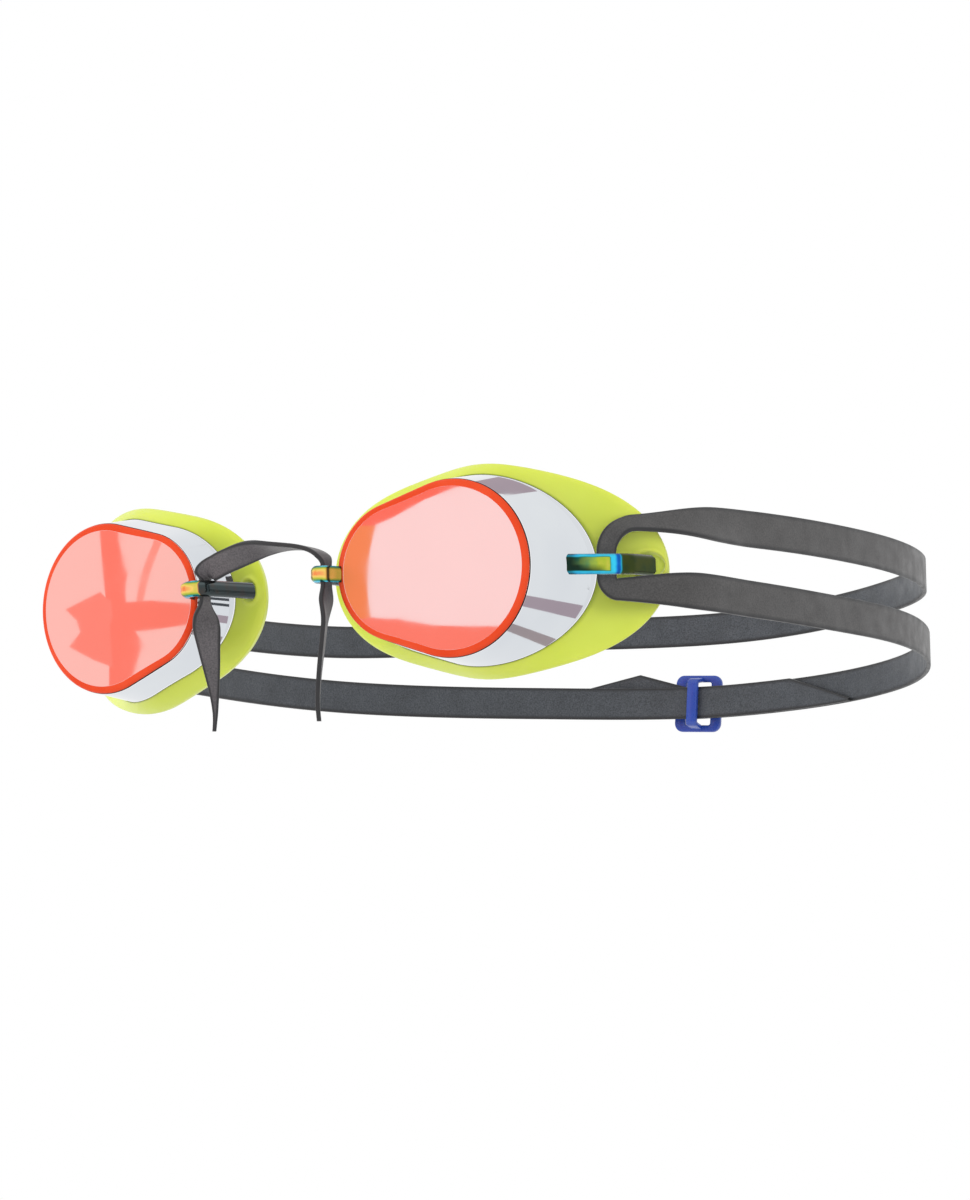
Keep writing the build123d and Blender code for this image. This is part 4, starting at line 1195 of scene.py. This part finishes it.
def add_card(name, centre, azimuth, elevation, distance, outline, shade):
    """A coloured reflector that only mirrors can see.

    It stands at a distance from a centre, in the direction az, el: (sin az cos el, -cos az cos el,
    sin el). Its outline is given across (cos az, sin az, 0) and up, at a right angle to both.
    """
    az, el = math.radians(azimuth), math.radians(elevation)
    ahead = Vector((math.sin(az) * math.cos(el), -math.cos(az) * math.cos(el), math.sin(el)))
    level = Vector((math.cos(az), math.sin(az), 0))
    rise = ahead.cross(level)
    place = Vector(centre) + ahead * distance
    mesh = bpy.data.meshes.new(name)
    corners = [(place + level * x + rise * z) * MM for x, z in outline]
    mesh.from_pydata([tuple(corner) for corner in corners], [], [tuple(range(len(corners)))])
    card = bpy.data.objects.new(name, mesh)
    bpy.context.scene.collection.objects.link(card)
    material = bpy.data.materials.new(name)
    material.use_nodes = True
    nodes, links = material.node_tree.nodes, material.node_tree.links
    nodes.clear()
    glow = nodes.new("ShaderNodeEmission")
    glow.inputs["Color"].default_value = (*shade, 1)
    links.new(glow.outputs[0], nodes.new("ShaderNodeOutputMaterial").inputs["Surface"])
    mesh.materials.append(material)
    for ray in ("camera", "diffuse", "transmission", "volume_scatter", "shadow"):
        setattr(card, f"visible_{ray}", False)


def oblong(width, height, slant=0.0):
    """A rectangle's corners round its own middle, with its level sides made to climb by the slant."""
    signs = ((-1, -1), (1, -1), (1, 1), (-1, 1))
    return [(x * width / 2, (z * height + x * width * slant) / 2) for x, z in signs]


def add_reflectors():
    """Coral and orange boards that the lenses mirror, and grey ones behind for the silver side walls."""
    near, far = (43.4, -12.1, 0), (-35.3, -12.7, 0)
    coral, deep, orange = (1.0, 0.27, 0.20), (1.0, 0.20, 0.14), (0.90, 0.33, 0.11)
    z = np.linspace(-14, 47, 16)
    arc = [(float(x), float(y)) for x, y in zip(-42 + 7.5 * ((z - 4) / 43) ** 2, z)]
    add_card("board_arc", near, -24.25, 0, 500, [(-80, -14), *arc, (-80, 47)], orange)
    add_card("board_top", near, -24.25, 0, 499, [(-80, 44), (-36, 45), (-16, 58), (5, 63), (30, 64),
                                                 (60, 110), (-80, 110)], deep)
    add_card("board_low", near, -24.25, 0, 498, [(-80, -70), (70, -70), (70, -26), (33, -23), (10, -21),
                                                 (-24, -17), (-41, -10), (-80, -10)], coral)
    add_card("board_pale", far, -46, 0, 503, [(-90, -60), (70, -60), (70, 100), (-90, 100)],
             (1.0, 0.75, 0.69))
    add_card("board_post", far, -46, 0, 500, [(-14, -40), (3, -40), (5, -8), (0, 20), (-1, 45), (0, 58),
                                              (3, 80), (-13, 80), (-11, 40), (-9, 0)], coral)
    add_card("board_slat", far, -46, 0, 501, [(5, 20), (9, 21), (18, 56), (18, 80), (12, 80), (12, 56)],
             (1.0, 0.42, 0.34))
    add_card("board_rail", far, -46, 0, 499, [(-1, 3), (14, 4), (40, 5), (40, 15), (13, 21), (-1, 22)],
             coral)
    add_card("board_fold", far, -46, 0, 498, [(-41, 23), (-14, 30), (-8, 24), (-8, -14), (-22, -8), (-40, 2),
                                              (-31, 9), (-33, 16)], (1.0, 0.33, 0.26))
    lilac = (0.50, 0.40, 0.44)
    add_card("board_side", (60, -4, -8), 151, -20.7, 200, oblong(84, 38, 0.6), lilac)
    add_card("board_back", (58, -4, -14), 172, -34.5, 200, oblong(60, 24, 0.6), (0.46, 0.38, 0.38))
    add_card("board_high", (52, -6, 15), -162, 36, 200, oblong(72, 48), lilac)


def add_camera():
    """The camera stands on a line through its aim, turned by azimuth and elevation and rolled a little."""
    az, el, roll = (math.radians(v) for v in (VIEW_AZIMUTH, VIEW_ELEVATION, VIEW_ROLL))
    level = Vector((math.cos(az), math.sin(az), 0))
    back = Vector((math.sin(az) * math.cos(el), -math.cos(az) * math.cos(el), math.sin(el)))
    rise = back.cross(level)
    right = level * math.cos(roll) + rise * math.sin(roll)
    up = rise * math.cos(roll) - level * math.sin(roll)
    aim = right * VIEW_SHIFT_RIGHT + up * VIEW_SHIFT_UP - Vector((0, FIT_Y, 0))
    data = bpy.data.cameras.new("camera")
    data.lens, data.sensor_width, data.clip_start = VIEW_LENS, 36, 0.01
    camera = bpy.data.objects.new("camera", data)
    turn = Matrix((right, up, back)).transposed().to_4x4()
    camera.matrix_world = Matrix.Translation((aim + back * VIEW_DISTANCE) * MM) @ turn
    bpy.context.scene.collection.objects.link(camera)
    bpy.context.scene.camera = camera


make_floor()
make_world()
add_softbox("key_lamp", (-0.9, -0.9, 0.25), (0, 0.05, 0), 0.9, 7.0)
add_softbox("side_lamp", (1.1, -0.4, 0.5), (0.03, 0.06, 0), 0.6, 3.0)
add_reflectors()
add_camera()
bpy.context.scene.view_settings.view_transform = "Standard"
